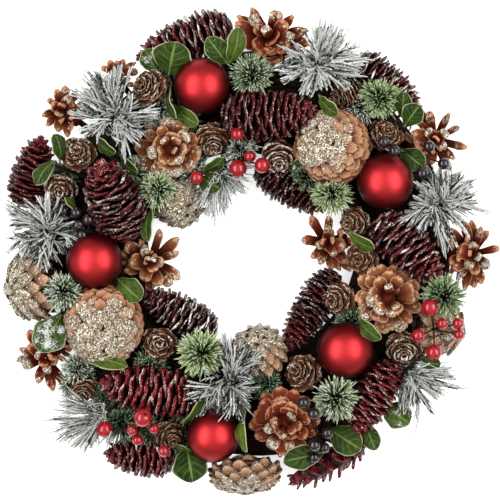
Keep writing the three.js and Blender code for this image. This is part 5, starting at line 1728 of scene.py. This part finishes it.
for i, (cone, rows) in enumerate(zip(OPEN_CONES, OPEN_SCALES), 1):
    opening = FLOWER if i == FLOWER_CONE else BRANCHED
    shape = open_cone(cone, draws(f"open {i}"), opening, rows)
    make_piece(f"open_pine_cone_{i}", shape, [WOOD], f"open_cone_{i}")

for i, cone in enumerate(GLITTER_CONES, 1):
    rng = draws(f"glitter {i}")
    shape = shell_cone(cone, rng, *BARE_SIDES[i - 1]) if i <= len(BARE_SIDES) else pad_cone(cone, rng)
    make_piece(f"glittered_cone_{i}", shape, [GLITTER], f"glitter_cone_{i}")

for name, cones in LARCH_TWIGS.items():
    shape = Shape()
    rng = draws(name)
    for cone in cones:
        add_larch_cone(shape, cone, rng)
    feet = [(cone.photo, moved(np.array([0, 0, -0.3 * cone.length]), cone_frame(cone))) for cone in cones]
    add_garland_wires(shape, LARCH_TRACK, SPRIG_TRACK, feet)
    make_piece(f"larch_cones_{name}", shape, [LARCH, TWIG], f"larch_twig_{name}")

for name, (head, berries) in BERRY_PICKS.items():
    colour = name.split("_")[0]
    shape = berry_pick(head, berries, draws(name))
    make_piece(f"pick_of_{name}", shape, [BERRY_SKINS[colour], TWIG], name)

for name, (tufts, leaves) in SPRIGS.items():
    rng = draws(name)
    shape = Shape()
    for tuft in tufts:
        tuft_needles(shape, tuft, rng)
    make_piece(f"needles_of_{name}", shape, [NEEDLE])
    shape = Shape()
    for leaf in leaves:
        add_leaf(shape, leaf, rng)
    feet = [(tuft.photo, spot(tuft.photo, tuft.z)) for tuft in tufts]
    for leaf in leaves:
        foot = np.array([0.1 * leaf.length, 0, 0.03 * leaf.length])
        feet.append((leaf.photo, moved(foot, leaf_frame(leaf))))
    add_garland_wires(shape, SPRIG_TRACK, LARCH_TRACK, feet)
    make_piece(f"leaves_of_{name}", shape, [LEAF, TWIG], name)

for i, spray in enumerate(SPRAYS, 1):
    shape = Shape()
    rng = draws(f"spray {i}")
    spray_needles(shape, spray, rng)
    tip = spot(spray.photo, spray.z)
    along = direction(spray.heading, spray.rise)
    neck = tip - SPRAY_STEM * along
    path = smooth_path([ring_foot(neck), neck, tip, tip + SPRAY_STEM_TIP * along], 16)
    tube(shape, path, SPRAY_STEM_RADIUS, STEM_SIDES, BARE, 1)
    make_piece(f"spray_of_flocked_needles_{i}", shape, [FLOCK, TWIG], f"flocked_spray_{i}")


# The studio

# The softboxes in metres and watts: each one's place, width and height, and power.
LIGHTS = {
    "left_softbox": ((-1.1, 0.1, 1.25), (2.0, 0.8), 33),
    "right_softbox": ((1.1, 0.2, 1.25), (1.8, 0.9), 31),
}
LIGHT_AIM = (0, 0, 0.03)


def add_light(name, place, size, power):
    data = bpy.data.lights.new(name, "AREA")
    data.shape = "RECTANGLE"
    data.size, data.size_y = size
    data.energy = power
    light = bpy.data.objects.new(name, data)
    light.location = place
    light.rotation_mode = "QUATERNION"
    light.rotation_quaternion = (Vector(LIGHT_AIM) - Vector(place)).to_track_quat("-Z", "Y")
    bpy.context.scene.collection.objects.link(light)


def studio():
    floor = bpy.data.meshes.new("floor")
    corners = [(-1, -1), (1, -1), (1, 1), (-1, 1)]
    points = [(x * FLOOR_HALF * MM, y * FLOOR_HALF * MM, -FLOOR_DROP * MM) for x, y in corners]
    floor.from_pydata(points, [], [(0, 1, 2, 3)])
    floor.materials.append(pale_floor())
    ground = bpy.data.objects.new("floor", floor)
    bpy.context.scene.collection.objects.link(ground)
    for name, light in LIGHTS.items():
        add_light(name, *light)
    world = bpy.data.worlds.new("soft_surround")
    world.use_nodes = True
    nodes, links = world.node_tree.nodes, world.node_tree.links
    direction_in = nodes.new("ShaderNodeTexCoord")
    parts = nodes.new("ShaderNodeSeparateXYZ")
    links.new(direction_in.outputs["Generated"], parts.inputs[0])
    ramp = nodes.new("ShaderNodeValToRGB")
    low, high = ramp.color_ramp.elements
    low.position, low.color = 0.0, (0.22, 0.22, 0.22, 1)
    high.position, high.color = 1.0, (1, 1, 1, 1)
    links.new(parts.outputs["Z"], ramp.inputs["Fac"])
    background = nodes["Background"]
    links.new(ramp.outputs["Color"], background.inputs["Color"])
    background.inputs["Strength"].default_value = 1.0
    bpy.context.scene.world = world
    bpy.context.scene.view_settings.view_transform = "Standard"


def camera():
    # The height of the lens, and of the level at which the photograph's scale holds, in metres.
    distance, plane, sensor = 2.2, 0.04, 36.0
    width = PHOTO_WIDTH * MM_PER_PIXEL * MM
    data = bpy.data.cameras.new("camera")
    data.sensor_width = sensor
    data.lens = sensor * (distance - plane) / width
    view = bpy.data.objects.new("camera", data)
    middle = spot((PHOTO_WIDTH / 2, PHOTO_WIDTH / 2), 0) * MM
    view.location = (middle[0], middle[1], distance)
    bpy.context.scene.collection.objects.link(view)
    bpy.context.scene.camera = view


studio()
camera()
